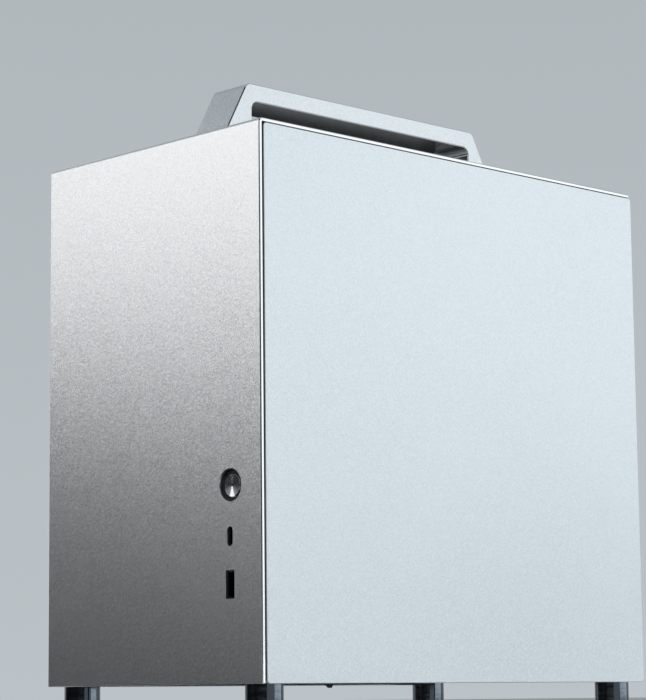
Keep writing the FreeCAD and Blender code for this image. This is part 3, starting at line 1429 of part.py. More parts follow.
# ================================================================ everything
def all_parts():
    """Node name to shape."""
    spots = foot_spots()
    rear_fan = V(rear_fan_x, rear_inner, rear_fan_z)
    cooler_fan = V(cooler_fan_x, cooler_fan_y, cpu_z)
    psu_fan = V(0, psu_back - 1.2, psu_fan_z)
    psu_fan_turn = V(0, psu_back - 1.2 - fan_depth, psu_fan_z)
    card_axis_z = shroud_low + 16.0
    parts = {
        "front_top_shell": front_top_shell(),
        "right_side_panel": right_side_panel(),
        "left_side_panel": mirrored(right_side_panel()),
        "right_panel_studs": right_panel_studs(),
        "left_panel_studs": mirrored(right_panel_studs()),
        "panel_clips": panel_clips(),
        "bottom_plate": bottom_plate(),
        "front_frame": front_frame(),
        "rear_panel": rear_panel(),
        "motherboard_tray": motherboard_tray(),
        "psu_bracket": psu_bracket(),
        "carry_handle": carry_handle(),
        "foot_front_left": foot(spots[0]),
        "foot_front_right": foot(spots[1]),
        "foot_rear_left": foot(spots[2]),
        "foot_rear_right": foot(spots[3]),
        "foot_pads": foot_pads(),
        "dust_filter": dust_filter(),
        "power_button": power_button(),
        "power_button_ring": power_button_ring(),
        "power_switch": power_switch(),
        "control_board": control_board(),
        "front_usb_a_port": usb_a_port(),
        "front_usb_c_port": usb_c_port(),
        "motherboard": motherboard(),
        "board_standoffs": board_standoffs(),
        "board_connectors": board_connectors(),
        "cpu_package": cpu_package(),
        "memory_modules": memory_modules(),
        "vrm_heatsink": vrm_heatsink(),
        "m2_drive": m2_drive(),
        "rear_io_ports": rear_io_ports(),
        "io_shield": io_shield(),
        "cooler_base": cooler_base(),
        "cooler_heat_pipes": cooler_heat_pipes(),
        "cooler_fin_stack": cooler_fin_stack(),
        "cooler_fan_frame": turned(fan_frame(fan_small, fan_small_holes), cooler_fan, -Y),
        "cooler_fan_rotor": turned(fan_rotor(fan_small), cooler_fan, -Y),
        "rear_fan_frame": turned(fan_frame(fan_small, fan_small_holes), rear_fan, -Y),
        "rear_fan_rotor": turned(fan_rotor(fan_small), rear_fan, -Y),
        "fan_guards": fan_guards(),
        "gpu_circuit_board": gpu_circuit_board(),
        "gpu_heatsink": gpu_heatsink(),
        "gpu_shroud": gpu_shroud(),
        "gpu_bracket": gpu_bracket(),
        "gpu_display_ports": gpu_display_ports(),
        "gpu_fan_rotor_front": turned(gpu_rotor(), V(card_middle, card_fan_y[0], card_axis_z), -Z),
        "gpu_fan_rotor_rear": turned(gpu_rotor(), V(card_middle, card_fan_y[1], card_axis_z), -Z),
        "psu_housing": psu_housing(),
        "psu_fan_frame": turned(fan_frame(fan_large, fan_large_holes), psu_fan_turn, Y),
        "psu_fan_rotor": turned(fan_rotor(fan_large), psu_fan_turn, Y),
        "psu_circuit": psu_circuit(),
        "psu_rocker_switch": psu_rocker_switch(),
        "ac_inlet": ac_inlet(),
        "ac_extension_lead": ac_extension_lead(),
        "atx_power_cable": atx_power_cable(),
        "gpu_power_cable": gpu_power_cable(),
        "front_usb_cable": front_usb_cable(),
        "small_screws": small_screws(),
        "case_screws": case_screws(),
    }
    return parts


def main():
    os.makedirs("parts", exist_ok=True)
    for name, shape in all_parts().items():
        if not shape.isValid() or any(solid.Volume <= 0 for solid in shape.Solids):
            print("not a sound solid:", name)
        shape.exportStep(os.path.join("parts", name + ".step"))
    print("solids written")


main()
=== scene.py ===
import math

import bpy
from mathutils import Matrix, Vector


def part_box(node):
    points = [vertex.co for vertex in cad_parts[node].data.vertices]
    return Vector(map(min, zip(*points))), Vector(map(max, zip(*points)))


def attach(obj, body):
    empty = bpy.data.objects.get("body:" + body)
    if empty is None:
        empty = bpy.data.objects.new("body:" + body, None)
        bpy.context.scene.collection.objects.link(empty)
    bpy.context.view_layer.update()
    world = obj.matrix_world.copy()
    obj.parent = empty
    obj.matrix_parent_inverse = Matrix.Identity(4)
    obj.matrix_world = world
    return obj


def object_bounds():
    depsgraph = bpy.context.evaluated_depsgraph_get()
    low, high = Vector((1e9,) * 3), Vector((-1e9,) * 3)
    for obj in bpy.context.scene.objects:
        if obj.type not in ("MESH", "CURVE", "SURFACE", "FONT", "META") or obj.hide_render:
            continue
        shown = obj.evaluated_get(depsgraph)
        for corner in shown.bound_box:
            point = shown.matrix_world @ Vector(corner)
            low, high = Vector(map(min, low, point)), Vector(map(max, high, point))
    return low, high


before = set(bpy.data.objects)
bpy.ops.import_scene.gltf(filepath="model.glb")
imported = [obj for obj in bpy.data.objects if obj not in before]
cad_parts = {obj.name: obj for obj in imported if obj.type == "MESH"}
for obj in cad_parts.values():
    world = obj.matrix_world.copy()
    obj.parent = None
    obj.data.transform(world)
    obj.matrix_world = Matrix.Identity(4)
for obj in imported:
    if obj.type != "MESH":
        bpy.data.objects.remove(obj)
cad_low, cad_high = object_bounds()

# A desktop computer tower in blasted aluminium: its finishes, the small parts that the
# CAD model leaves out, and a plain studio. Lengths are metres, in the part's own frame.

MM = 0.001
X = Vector((1, 0, 0))
Y = Vector((0, 1, 0))
Z = Vector((0, 0, 1))


# ---- shader tools ----

class Signal:
    """A shader socket that Python arithmetic turns into Math nodes."""

    def __init__(self, shader, socket):
        self.shader = shader
        self.socket = socket

    def maths(self, operation, *values):
        return self.shader.node("Math", {"operation": operation}, dict(enumerate(values)))

    def __add__(self, other):
        return self.maths("ADD", self, other)

    def __sub__(self, other):
        return self.maths("SUBTRACT", self, other)

    def __rsub__(self, other):
        return self.maths("SUBTRACT", other, self)

    def __mul__(self, other):
        return self.maths("MULTIPLY", self, other)

    __radd__ = __add__

    def size(self):
        return self.maths("ABSOLUTE", self)

    def sine(self):
        return self.maths("SINE", self)

    def higher_of(self, other):
        return self.maths("MAXIMUM", self, other)

    def rise(self, low, high, start=0.0, end=1.0):
        """A smooth step from start, at or below low, to end, at or above high."""
        ends = {"Value": self, "From Min": low, "From Max": high, "To Min": start, "To Max": end}
        return self.shader.node("MapRange", {"interpolation_type": "SMOOTHSTEP"}, ends)

    def within(self, low, high, blur):
        """1 between low and high, and 0 outside them."""
        return self.rise(low - blur, low + blur) * self.rise(high - blur, high + blur, 1.0, 0.0)


class Shader:
    """One material and its nodes, which end in a Principled BSDF."""

    def __init__(self, name):
        self.material = bpy.data.materials.new(name)
        self.material.use_nodes = True
        self.tree = self.material.node_tree
        self.principled = self.tree.nodes["Principled BSDF"]
        self.place = self.node("TexCoord", output="Object")

    def node(self, kind, settings=None, inputs=None, output=0):
        """Adds a node: its type, its settings, then the values or links of its sockets."""
        node = self.tree.nodes.new("ShaderNode" + kind)
        for setting, value in (settings or {}).items():
            setattr(node, setting, value)
        for socket, value in (inputs or {}).items():
            self.feed(node.inputs[socket], value)
        return Signal(self, node.outputs[output])

    def feed(self, socket, value):
        if isinstance(value, Signal):
            self.tree.links.new(value.socket, socket)
        elif socket.type == "RGBA":
            socket.default_value = (*value, 1.0)
        else:
            socket.default_value = value

    def axes(self, vector=None):
        """The three parts of a vector, the object coordinates if none is given."""
        vector = vector or self.place
        first = self.node("SeparateXYZ", {}, {0: vector})
        return [Signal(self, output) for output in first.socket.node.outputs]

    def facing(self):
        """The three parts of the surface's own normal, in object space."""
        return self.axes(self.node("TexCoord", output="Normal"))

    def noise(self, scale, detail=2.0, stretch=(1.0, 1.0, 1.0)):
        """Noise that averages 0.5, with features 1 / scale metres wide."""
        place = self.node("Mapping", {}, {"Vector": self.place, "Scale": stretch})
        return self.node("TexNoise", {}, {"Vector": place, "Scale": scale, "Detail": detail})

    def cells(self, scale, output="Distance"):
        """Random cells 1 / scale metres wide: how far each middle is, or each cell's colour."""
        return self.node("TexVoronoi", {}, {"Vector": self.place, "Scale": scale}, output)

    def vector(self, operation, *values, **sockets):
        """A Vector Math node."""
        inputs = {**dict(enumerate(values)), **sockets}
        return self.node("VectorMath", {"operation": operation}, inputs)

    def mix(self, mask, first, second):
        """A colour: first where the mask is 0 and second where it is 1."""
        return self.node("Mix", {"data_type": "RGBA"}, {0: mask, 6: first, 7: second}, 2)

    def bump(self, height, distance):
        """The surface's normal over a relief that is distance metres deep."""
        inputs = {"Height": height, "Distance": distance, "Strength": 1.0}
        return self.node("Bump", {}, inputs)

    def leaning(self, lean):
        """The surface's normal, pushed over by a vector."""
        normal = self.vector("ADD", self.node("NewGeometry", output="Normal"), lean)
        return self.vector("NORMALIZE", normal)

    def finish(self, **sockets):
        """Feeds the Principled BSDF, whose socket names are written here with underscores."""
        for name, value in sockets.items():
            self.feed(self.principled.inputs[name.replace("_", " ")], value)
        return self.material


# ---- finishes ----

def shaded(colour, share):
    """A colour made darker or brighter."""
    return [part * share for part in colour]


PIT_SHADE = 0.82
CLOUD_SHADE = 0.965
CUT_COLOUR = (0.93, 0.94, 0.95)
CUT_ROUGHNESS = 0.16
CUT_BLUR = 0.05 * MM
# Painted shade for the walls of the handle's opening.
MILLED_PAINTED_SHADE = 0.28
MILLED_ROUGHNESS = 0.14
ANY_LEAN = (1.1, 1.2)


def blasted_aluminium(
    name, colour, roughness, grain, tilt, cut_from=None, cut_most=ANY_LEAN, milled_and_painted_shade=None
):
    """Bead-blasted, clear-anodised aluminium: each pit of the grain leans its own way.

    Where cut_from is given, the edges that lie that far out along X are machined bright,
    unless their normals lean further along X than cut_most. Where the mask of milled
    walls gives 1, a cutter has left the surface smooth, and its colour is darkened there
    as painted shade in the recess.
    """
    shader = Shader(name)
    pits = shader.cells(1 / grain, "Color")
    dust = shader.noise(1.2 / grain, 1.0)
    cloud = shader.noise(9.0)
    lean = shader.vector("SUBTRACT", pits, (0.5, 0.5, 0.5))
    shade = shader.axes(pits)[0]
    tone = shader.mix(shade, shaded(colour, PIT_SHADE), colour)
    tone = shader.mix(cloud.rise(0.3, 0.7) * 0.25, tone, shaded(colour, CLOUD_SHADE))
    rough = roughness + (dust - 0.5) * 0.12
    if cut_from:
        x = shader.axes()[0]
        nx = shader.facing()[0]
        outside = x.size().rise(cut_from - CUT_BLUR, cut_from + CUT_BLUR)
        cut = nx.size().rise(0.3, 0.4) * nx.size().rise(*cut_most, 1.0, 0.0) * outside
        tone = shader.mix(cut, tone, CUT_COLOUR)
        rough = rough - cut * (roughness - CUT_ROUGHNESS)
        lean = shader.vector("SCALE", lean, Scale=1.0 - cut)
    if milled_and_painted_shade:
        smooth = milled_and_painted_shade(shader)
        # Painted shade: the milled walls take a much darker colour, standing for the shade in the handle's
        # opening.
        tone = shader.mix(smooth, tone, shaded(colour, MILLED_PAINTED_SHADE))
        rough = rough - smooth * (roughness - MILLED_ROUGHNESS)
        lean = shader.vector("SCALE", lean, Scale=1.0 - smooth)
    normal = shader.leaning(shader.vector("SCALE", lean, Scale=tilt))
    return shader.finish(Base_Color=tone, Roughness=rough, Metallic=1.0, Normal=normal)


def opening_walls(shader):
    """1 on the walls of the handle's finger opening, which are milled smooth and darkened as painted shade.
    """
    blur = 0.2 * MM
    under_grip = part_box("carry_handle")[1].z - 9.8 * MM
    half_length = 88.0 * MM
    y, z = shader.axes()[1:]
    nx = shader.facing()[0]
    between = y.size().rise(half_length, half_length + blur, 1.0, 0.0)
    below = z.rise(under_grip, under_grip + blur, 1.0, 0.0)
    return below * between * nx.size().rise(0.3, 0.4, 1.0, 0.0)


def polished_metal(name, colour, roughness):
    """Bright metal with a faint grain and thin wipe marks in its gloss."""
    shader = Shader(name)
    wipe = shader.noise(60.0, 4.0, (1.0, 1.0, 6.0))
    grain = shader.noise(900.0, 2.0)
    rough = roughness + wipe.rise(0.4, 0.75) * 0.08
    tone = shader.mix(wipe.rise(0.3, 0.8), colour, shaded(colour, 0.9))
    skin = shader.bump(grain, 0.000004)
    return shader.finish(Base_Color=tone, Roughness=rough, Metallic=1.0, Normal=skin)


def turned_button_with_painted_light(name):
    """Metal faced on a lathe: fine rings about the button's axis, in dark tones that are painted shade,
    with a painted bowtie highlight across them.
    """
    shader = Shader(name)
    centre = (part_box("power_button")[0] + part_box("power_button")[1]) / 2
    place = shader.vector("SUBTRACT", shader.place, centre)
    place = shader.vector("MULTIPLY", place, (1.0, 0.0, 1.0))
    reach = shader.node("VectorMath", {"operation": "LENGTH"}, {0: place}, "Value")
    outward = shader.vector("NORMALIZE", place)
    along_reach = {"W": reach, "Scale": 9000.0, "Detail": 1.0}
    ring = shader.node("TexNoise", {"noise_dimensions": "1D"}, along_reach)
    normal = shader.leaning(shader.vector("SCALE", outward, Scale=(ring - 0.5) * 0.5 - 0.12))
    z = shader.axes(outward)[2]
    # Painted highlight: a bowtie of brighter colour, strong below the middle and faint above it, fixed in
    # the button's own frame.
    painted_bowtie_highlight = (0.0 - z).rise(0.90, 0.985) + z.rise(0.93, 0.99) * 0.45
    # The rings alternate between two dark tones; their darkness is painted shade beside the painted
    # highlight.
    tone = shader.mix(ring, (0.17, 0.175, 0.185), (0.30, 0.305, 0.315))
    tone = shader.mix(painted_bowtie_highlight, tone, (0.95, 0.96, 0.97))
    tone = shader.mix(reach.rise(0.25 * MM, 0.5 * MM, 1.0, 0.0), tone, (0.05, 0.05, 0.05))
    return shader.finish(Base_Color=tone, Roughness=0.24, Metallic=1.0, Normal=normal)


def dark_metal(name, colour, roughness):
    """Dark steel, as on black screws and the button's ring; on the front sockets' shells the darkness is
    painted shade in their recesses.
    """
    shader = Shader(name)
    grain = shader.noise(2500.0, 2.0)
    rough = roughness + (grain - 0.5) * 0.15
    tone = shader.mix(grain, colour, shaded(colour, 1.4))
    skin = shader.bump(grain, 0.00001)
    return shader.finish(Base_Color=tone, Roughness=rough, Metallic=0.9, Normal=skin)


def powder_coat(name, colour, roughness=0.5):
    """Powder-coated steel sheet with a fine orange peel."""
    shader = Shader(name)
    peel = shader.noise(700.0, 2.0)
    speck = shader.noise(2600.0, 1.0)
    tone = shader.mix(speck.rise(0.35, 0.7), shaded(colour, 0.88), colour)
    rough = roughness + (peel - 0.5) * 0.2
    return shader.finish(Base_Color=tone, Roughness=rough, Metallic=0.25, Normal=shader.bump(peel, 0.00006))


def moulded_plastic(name, colour, roughness=0.45, depth=0.00003):
    """Plastic from a spark-eroded mould."""
    shader = Shader(name)
    texture = shader.noise(1500.0, 3.0)
    drift = shader.noise(40.0)
    tone = shader.mix(drift.rise(0.3, 0.7), colour, shaded(colour, 1.18))
    rough = roughness + (texture - 0.5) * 0.25
    return shader.finish(Base_Color=tone, Roughness=rough, Normal=shader.bump(texture, depth))


def rubber(name):
    shader = Shader(name)
    texture = shader.noise(1100.0, 3.0)
    dust = shader.noise(260.0, 2.0)
    tone = shader.mix(dust.rise(0.55, 0.8), (0.018, 0.018, 0.019), (0.05, 0.049, 0.047))
    rough = 0.85 - texture * 0.1
    return shader.finish(Base_Color=tone, Roughness=rough, Normal=shader.bump(texture, 0.00005))


def filter_weave(name):
    """A moulded frame around a woven nylon mesh, on its broad faces; the openings of the mesh are
    near-black as painted shade.
    """
    shader = Shader(name)
    low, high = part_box("dust_filter")
    rim = 9 * MM
    pitch = 1.1 * MM
    blur = 0.1 * MM
    x, y = shader.axes()[:2]
    nz = shader.facing()[2]
    inside_x = x.within(low.x + rim, high.x - rim, blur)
    inside_y = y.within(low.y + rim, high.y - rim, blur)
    mesh = inside_x * inside_y * nz.size().rise(0.7, 0.9)
    across = (x * (2 * math.pi / pitch)).sine().size()
    along = (y * (2 * math.pi / pitch)).sine().size()
    thread = across.higher_of(along).rise(0.72, 0.9)
    texture = shader.noise(1400.0)
    # Painted shade: the openings between the threads are near-black, standing for the black bottom plate
    # seen through them in shade.
    tone = shader.mix(mesh * (1.0 - thread), (0.028, 0.028, 0.030), (0.004, 0.004, 0.004))
    tone = shader.mix(mesh * thread, tone, (0.050, 0.051, 0.054))
    height = mesh * thread + texture * 0.1
    return shader.finish(Base_Color=tone, Roughness=0.5 + mesh * 0.2, Normal=shader.bump(height, 0.0002))


def solder_mask(name, flat, pads):
    """A circuit board: traces under a dark mask, plated holes and bare edges.

    flat is the pair of axes that the board lies in, and pads the colour of its plating.
    """
    shader = Shader(name)
    axes = shader.axes()
    u, v = axes[flat[0]], axes[flat[1]]
    lane = 1.5 * MM
    bend = shader.noise(55.0, 0.0)
    across = ((u + bend * 0.05) * (2 * math.pi / lane)).sine()
    along = ((v + bend * 0.05) * (2 * math.pi / lane)).sine()
    blocks = {"Vector": shader.place, "Scale": 38.0}
    zone = shader.node("TexVoronoi", {"distance": "CHEBYCHEV"}, blocks, "Color")
    pick = shader.axes(zone)
    trace = across.rise(0.35, 0.6) * pick[0].rise(0.45, 0.5)
    trace = trace + along.rise(0.35, 0.6) * pick[0].rise(0.45, 0.5, 1.0, 0.0)
    trace = trace * pick[1].rise(0.3, 0.34)
    via = shader.cells(260.0).rise(0.10, 0.16, 1.0, 0.0) * pick[2].rise(0.4, 0.5)
    tone = shader.mix(trace, (0.010, 0.011, 0.012), (0.030, 0.032, 0.034))
    tone = shader.mix(via, tone, pads)
    height = trace * 0.6 + via
    skin = shader.bump(height, 0.00004)
    return shader.finish(Base_Color=tone, Roughness=0.38 - via * 0.1, Metallic=via * 0.8, Normal=skin)


def rolled_aluminium(name, colour, roughness=0.34):
    """Bare fin stock, with rolling lines across it."""
    shader = Shader(name)
    lines = shader.noise(700.0, 3.0, (1.0, 0.05, 1.0))
    stain = shader.noise(70.0)
    tone = shader.mix(stain.rise(0.35, 0.75), colour, shaded(colour, 0.86))
    rough = roughness + (lines - 0.5) * 0.22
    return shader.finish(Base_Color=tone, Roughness=rough, Metallic=1.0, Normal=shader.bump(lines, 0.00002))


def black_anodised(name, colour):
    """Brushed and dyed aluminium covers."""
    shader = Shader(name)
    brush = shader.noise(1300.0, 3.0, (1.0, 1.0, 0.03))
    tone = shader.mix(brush, shaded(colour, 0.7), shaded(colour, 1.3))
    rough = 0.33 + (brush - 0.5) * 0.2
    skin = shader.bump(brush, 0.00002)
    return shader.finish(Base_Color=tone, Roughness=rough, Metallic=0.85, Normal=skin)


def plated_steel(name, colour, roughness=0.32):
    """Zinc or nickel plate with a faint spangle."""
    shader = Shader(name)
    spangle = shader.axes(shader.cells(420.0, "Color"))[0]
    grain = shader.noise(1800.0)
    tone = shader.mix(spangle, shaded(colour, 0.86), colour)
    rough = roughness + (spangle - 0.5) * 0.12 + (grain - 0.5) * 0.1
    skin = shader.bump(grain, 0.000015)
    return shader.finish(Base_Color=tone, Roughness=rough, Metallic=1.0, Normal=skin)


def braided_sleeve(name):
    """Black polyester braid over a bundle of wires."""
    shader = Shader(name)
    x, y, z = shader.axes()
    turn = 2 * math.pi / (1.6 * MM)
    right = ((x + y + z) * turn).sine()
    left = ((x - y + z) * turn).sine()
    strand = right.size().higher_of(left.size())
    tone = shader.mix(strand.rise(0.5, 1.0), (0.006, 0.006, 0.007), (0.040, 0.040, 0.043))
    return shader.finish(Base_Color=tone, Roughness=0.62, Normal=shader.bump(strand, 0.00018))


def gold_plate(name):
    shader = Shader(name)
    wear = shader.noise(900.0, 3.0)
    tone = shader.mix(wear.rise(0.4, 0.8), (0.83, 0.60, 0.24), (0.70, 0.50, 0.22))
    rough = 0.24 + wear * 0.12
    skin = shader.bump(wear, 0.000005)
    return shader.finish(Base_Color=tone, Roughness=rough, Metallic=1.0, Normal=skin)


def dress(material, *names):
    """Gives CAD nodes their finish."""
    for name in names:
        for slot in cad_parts[name].material_slots:
            slot.material = material


edge_from = cad_high.x - 0.45 * MM
handle_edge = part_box("carry_handle")[1].x - 0.55 * MM
chamfers_only = (0.8, 0.95)
shell_finish = blasted_aluminium(
    "shell_aluminium", (0.81, 0.81, 0.815), 0.33, grain=0.27 * MM, tilt=0.16, cut_from=edge_from
)
# Painted light: this colour is brighter and bluer than the shell's, repeating the bluish light that falls
# on the +X side.
panel_finish = blasted_aluminium(
    "panel_aluminium", (0.85, 0.90, 0.93), 0.42, grain=0.40 * MM, tilt=0.07
)
# Painted light: the blue in this colour repeats the bluish light on the handle's +X side.
handle_finish = blasted_aluminium(
    "handle_aluminium",
    (0.80, 0.84, 0.86),
    0.34,
    grain=0.45 * MM,
    tilt=0.18,
    cut_from=handle_edge,
    cut_most=chamfers_only,
    # The finger opening's walls are milled smooth and darkened as painted shade.
    milled_and_painted_shade=opening_walls,
)
# Painted shade: the chrome feet are given a dark bluish colour, standing for the dark studio they reflect.
foot_finish = polished_metal("polished_foot", (0.115, 0.13, 0.15), 0.06)
rubber_finish = rubber("foot_rubber")
steel_finish = powder_coat("chassis_steel", (0.020, 0.021, 0.023), 0.5)
supply_finish = powder_coat("supply_steel", (0.022, 0.023, 0.025), 0.45)
black_finish = moulded_plastic("black_plastic", (0.020, 0.020, 0.022))
fan_finish = moulded_plastic("fan_plastic", (0.030, 0.031, 0.034), 0.38, 0.00002)
nylon_finish = moulded_plastic("clip_nylon", (0.62, 0.62, 0.59), 0.4, 0.00001)
weave_finish = filter_weave("filter_plastic")
button_finish = turned_button_with_painted_light("button_metal")
# Painted shade: the front sockets' shells are coloured near-black for the shade inside their cut-outs.
front_socket_finish = dark_metal("dark_socket", (0.020, 0.020, 0.022), 0.35)
ring_finish = dark_metal("button_ring_black", (0.030, 0.030, 0.032), 0.40)
socket_finish = plated_steel("socket_steel", (0.66, 0.67, 0.68), 0.26)
zinc_finish = plated_steel("zinc_steel", (0.60, 0.61, 0.63), 0.36)
screw_finish = dark_metal("black_screw_steel", (0.035, 0.035, 0.037), 0.38)
pad_gold = (0.70, 0.52, 0.24)
board_finish = solder_mask("circuit_board", (1, 2), pad_gold)
card_board_finish = solder_mask("card_circuit_board", (0, 1), pad_gold)
fin_finish = rolled_aluminium("heatsink_aluminium", (0.80, 0.81, 0.82))
pipe_finish = polished_metal("nickel_pipe", (0.66, 0.64, 0.61), 0.16)
cover_finish = black_anodised("cover_aluminium", (0.055, 0.056, 0.060))
sleeve_finish = braided_sleeve("cable_sleeve")
gold_finish = gold_plate("gold_plate")
ceramic_finish = moulded_plastic("ceramic_parts", (0.10, 0.085, 0.070), 0.4, 0.00001)
choke_finish = moulded_plastic("choke_grey", (0.075, 0.077, 0.080), 0.55, 0.00003)
latch_finish = moulded_plastic("latch_grey", (0.16, 0.16, 0.165), 0.4, 0.00001)
hub_finish = moulded_plastic("hub_cap_grey", (0.20, 0.205, 0.21), 0.32, 0.000005)
lens_finish = moulded_plastic("lamp_lens", (0.45, 0.50, 0.36), 0.18, 0.000005)

dress(shell_finish, "front_top_shell")
dress(panel_finish, "right_side_panel", "left_side_panel")
dress(handle_finish, "carry_handle")
dress(foot_finish, "foot_front_left", "foot_front_right", "foot_rear_left", "foot_rear_right")
dress(rubber_finish, "foot_pads")
dress(steel_finish, "front_frame", "rear_panel", "motherboard_tray", "psu_bracket", "bottom_plate")
dress(weave_finish, "dust_filter")
dress(button_finish, "power_button")
dress(ring_finish, "power_button_ring")
dress(black_finish, "power_switch", "gpu_shroud", "ac_inlet", "psu_rocker_switch", "board_connectors")
dress(front_socket_finish, "front_usb_a_port", "front_usb_c_port")
dress(socket_finish, "rear_io_ports", "io_shield", "gpu_bracket", "gpu_display_ports", "cpu_package")
dress(zinc_finish, "board_standoffs", "right_panel_studs", "left_panel_studs", "fan_guards")
dress(screw_finish, "small_screws", "case_screws")
dress(board_finish, "motherboard", "control_board")
dress(card_board_finish, "gpu_circuit_board", "psu_circuit")
dress(fin_finish, "cooler_fin_stack", "gpu_heatsink")
dress(pipe_finish, "cooler_heat_pipes", "cooler_base")
dress(cover_finish, "memory_modules", "vrm_heatsink", "m2_drive")
dress(fan_finish, "cooler_fan_frame", "cooler_fan_rotor", "rear_fan_frame", "rear_fan_rotor")
dress(fan_finish, "gpu_fan_rotor_front", "gpu_fan_rotor_rear", "psu_fan_frame", "psu_fan_rotor")
dress(supply_finish, "psu_housing")
dress(nylon_finish, "panel_clips")
dress(sleeve_finish, "ac_extension_lead", "atx_power_cable", "gpu_power_cable", "front_usb_cable")


# ---- modelling tools ----

def take_up(piece):
    """Makes a piece the only one selected, and active."""
    bpy.ops.object.select_all(action="DESELECT")
    piece.select_set(True)
    bpy.context.view_layer.objects.active = piece


def new_block(low, high):
    """A block between two corners."""
    low, high = Vector(low), Vector(high)
    bpy.ops.object.select_all(action="DESELECT")
    bpy.ops.mesh.primitive_cube_add(size=1, location=(low + high) / 2)
    bpy.context.object.scale = high - low
    bpy.ops.object.transform_apply(location=True, rotation=True, scale=True)
    return bpy.context.object


def new_rod(foot, along, radius, length, sides=24):
    """A round bar from its foot, along a unit vector."""
    bpy.ops.object.select_all(action="DESELECT")
    turn = along.to_track_quat("Z", "Y").to_euler()
    middle = foot + along * (length / 2)
    bpy.ops.mesh.primitive_cylinder_add(
        vertices=sides, radius=radius, depth=length, location=middle, rotation=turn
    )
    bpy.ops.object.transform_apply(location=True, rotation=True, scale=True)
    return bpy.context.object


def on_faces(piece, chosen, *steps):
    """Runs edit-mode steps on the faces whose normals chosen accepts."""
    take_up(piece)
    bpy.ops.object.mode_set(mode="EDIT")
    bpy.ops.mesh.select_mode(type="FACE")
    bpy.ops.mesh.select_all(action="DESELECT")
    bpy.ops.object.mode_set(mode="OBJECT")
    for face in piece.data.polygons:
        face.select = bool(chosen(face.normal))
    bpy.ops.object.mode_set(mode="EDIT")
    for step in steps:
        step()
    bpy.ops.object.mode_set(mode="OBJECT")


SQUARE_ON = 0.9


def facing_along(direction):
    """Chooses the faces whose normals point along a direction."""
    return lambda normal: normal.dot(direction) > SQUARE_ON


def facing_both_ways(direction):
    """Chooses the faces whose normals point along a direction or against it."""
    return lambda normal: abs(normal.dot(direction)) > SQUARE_ON


def inset(thickness):
    return lambda: bpy.ops.mesh.inset(thickness=thickness, depth=0.0)


def push(step):
    return lambda: bpy.ops.mesh.extrude_region_move(TRANSFORM_OT_translate={"value": step})


def move(step):
    return lambda: bpy.ops.transform.translate(value=step)


def swell(height):
    """Moves each chosen face out along its own normal."""
    return lambda: bpy.ops.transform.shrink_fatten(value=height)


def resize(factors, centre):
    return lambda: bpy.ops.transform.resize(value=factors, center_override=centre)


def soften(piece, width, segments=2):
    """Rounds the sharp edges."""
    take_up(piece)
    bevel = piece.modifiers.new("bevel", "BEVEL")
    bevel.width = width
    bevel.segments = segments
    bevel.limit_method = "ANGLE"
    bpy.ops.object.modifier_apply(modifier=bevel.name)


def repeat(piece, steps):
    """Copies of a piece, each moved by one step; the piece itself is used up."""
    copies = []
    for step in steps:
        twin = piece.copy()
        twin.data = piece.data.copy()
        twin.data.transform(Matrix.Translation(step))
        bpy.context.scene.collection.objects.link(twin)
        copies.append(twin)
    bpy.data.objects.remove(piece)
    return copies


def fit_out(name, pieces, finish, body="chassis"):
    """Joins pieces under one name, with their finish and body."""
    bpy.ops.object.select_all(action="DESELECT")
    for piece in pieces:
        piece.select_set(True)
    bpy.context.view_layer.objects.active = pieces[0]
    if len(pieces) > 1:
        bpy.ops.object.join()
    whole = bpy.context.object
    whole.name = name
    whole.data.materials.clear()
    whole.data.materials.append(finish)
    bpy.ops.object.shade_smooth_by_angle(angle=math.radians(35))
    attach(whole, body)
    return whole


# ---- parts on the motherboard ----

board_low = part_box("motherboard")[0]


def spot(back, up, out=0.0):
    """A place on the board's face, in millimetres from its lower front corner."""
    return Vector((board_low.x - out * MM, board_low.y + back * MM, board_low.z + up * MM))


def board_block(back, up, depth, height, out):
    """A block that stands on the board, with its lower front corner at a spot."""
    foot = spot(back, up)
    return new_block(foot - X * out * MM, foot + Vector((0, depth, height)) * MM)


def board_steps(places):
    """The steps from the board's corner to places on it, in millimetres."""
    return [spot(back, up) - spot(0, 0) for back, up in places]


def up_the_board(back, up, pitch, count):
    return [(back, up + pitch * i) for i in range(count)]


def along_the_board(back, up, pitch, count):
    return [(back + pitch * i, up) for i in range(count)]


def in_threes(back, up, pitch_back, pitch_up, count):
    """Places in rows of three."""
    return [(back + pitch_back * (i % 3), up + pitch_up * (i // 3)) for i in range(count)]


def chip(back, up, depth, height, out, pins):
    """A moulded package, with gull-wing pins along its two long sides."""
    package = board_block(back, up, depth, height, out)
    on_faces(package, facing_along(-X), inset(0.25 * MM), move((-0.12 * MM, 0, 0)))
    soften(package, 0.1 * MM, 1)
    legs = []
    reach = 0.45
    pitch = (height - 1.0) / pins
    for side in (-1, 1):
        foot = spot(back + depth / 2 + side * (depth / 2 + reach), up)
        low = foot + Vector((-0.18, -reach, 0.3)) * MM
        high = foot + Vector((0, reach, 0.65)) * MM
        leg = new_block(low, high)
        on_faces(leg, facing_along(-Y * side), push((-0.35 * MM, -side * 0.12 * MM, 0)))
        legs += repeat(leg, [Z * pitch * i * MM for i in range(pins)])
    return package, legs


def capacitor(radius, height):
    """A polymer can with a rolled shoulder, on a plastic base, at the board's corner."""
    can = new_rod(spot(0, 0, 0.8), -X, radius * MM, height * MM, 20)
    on_faces(can, facing_along(-X), inset(0.55 * MM), push((0.25 * MM, 0, 0)))
    soften(can, 0.3 * MM)
    base = new_block(spot(-radius, -radius, 0.9), spot(radius, radius))
    on_faces(base, facing_along(Z), resize((1, 0.6, 1), spot(0, radius, 0.4)))
    soften(base, 0.1 * MM, 1)
    return can, base


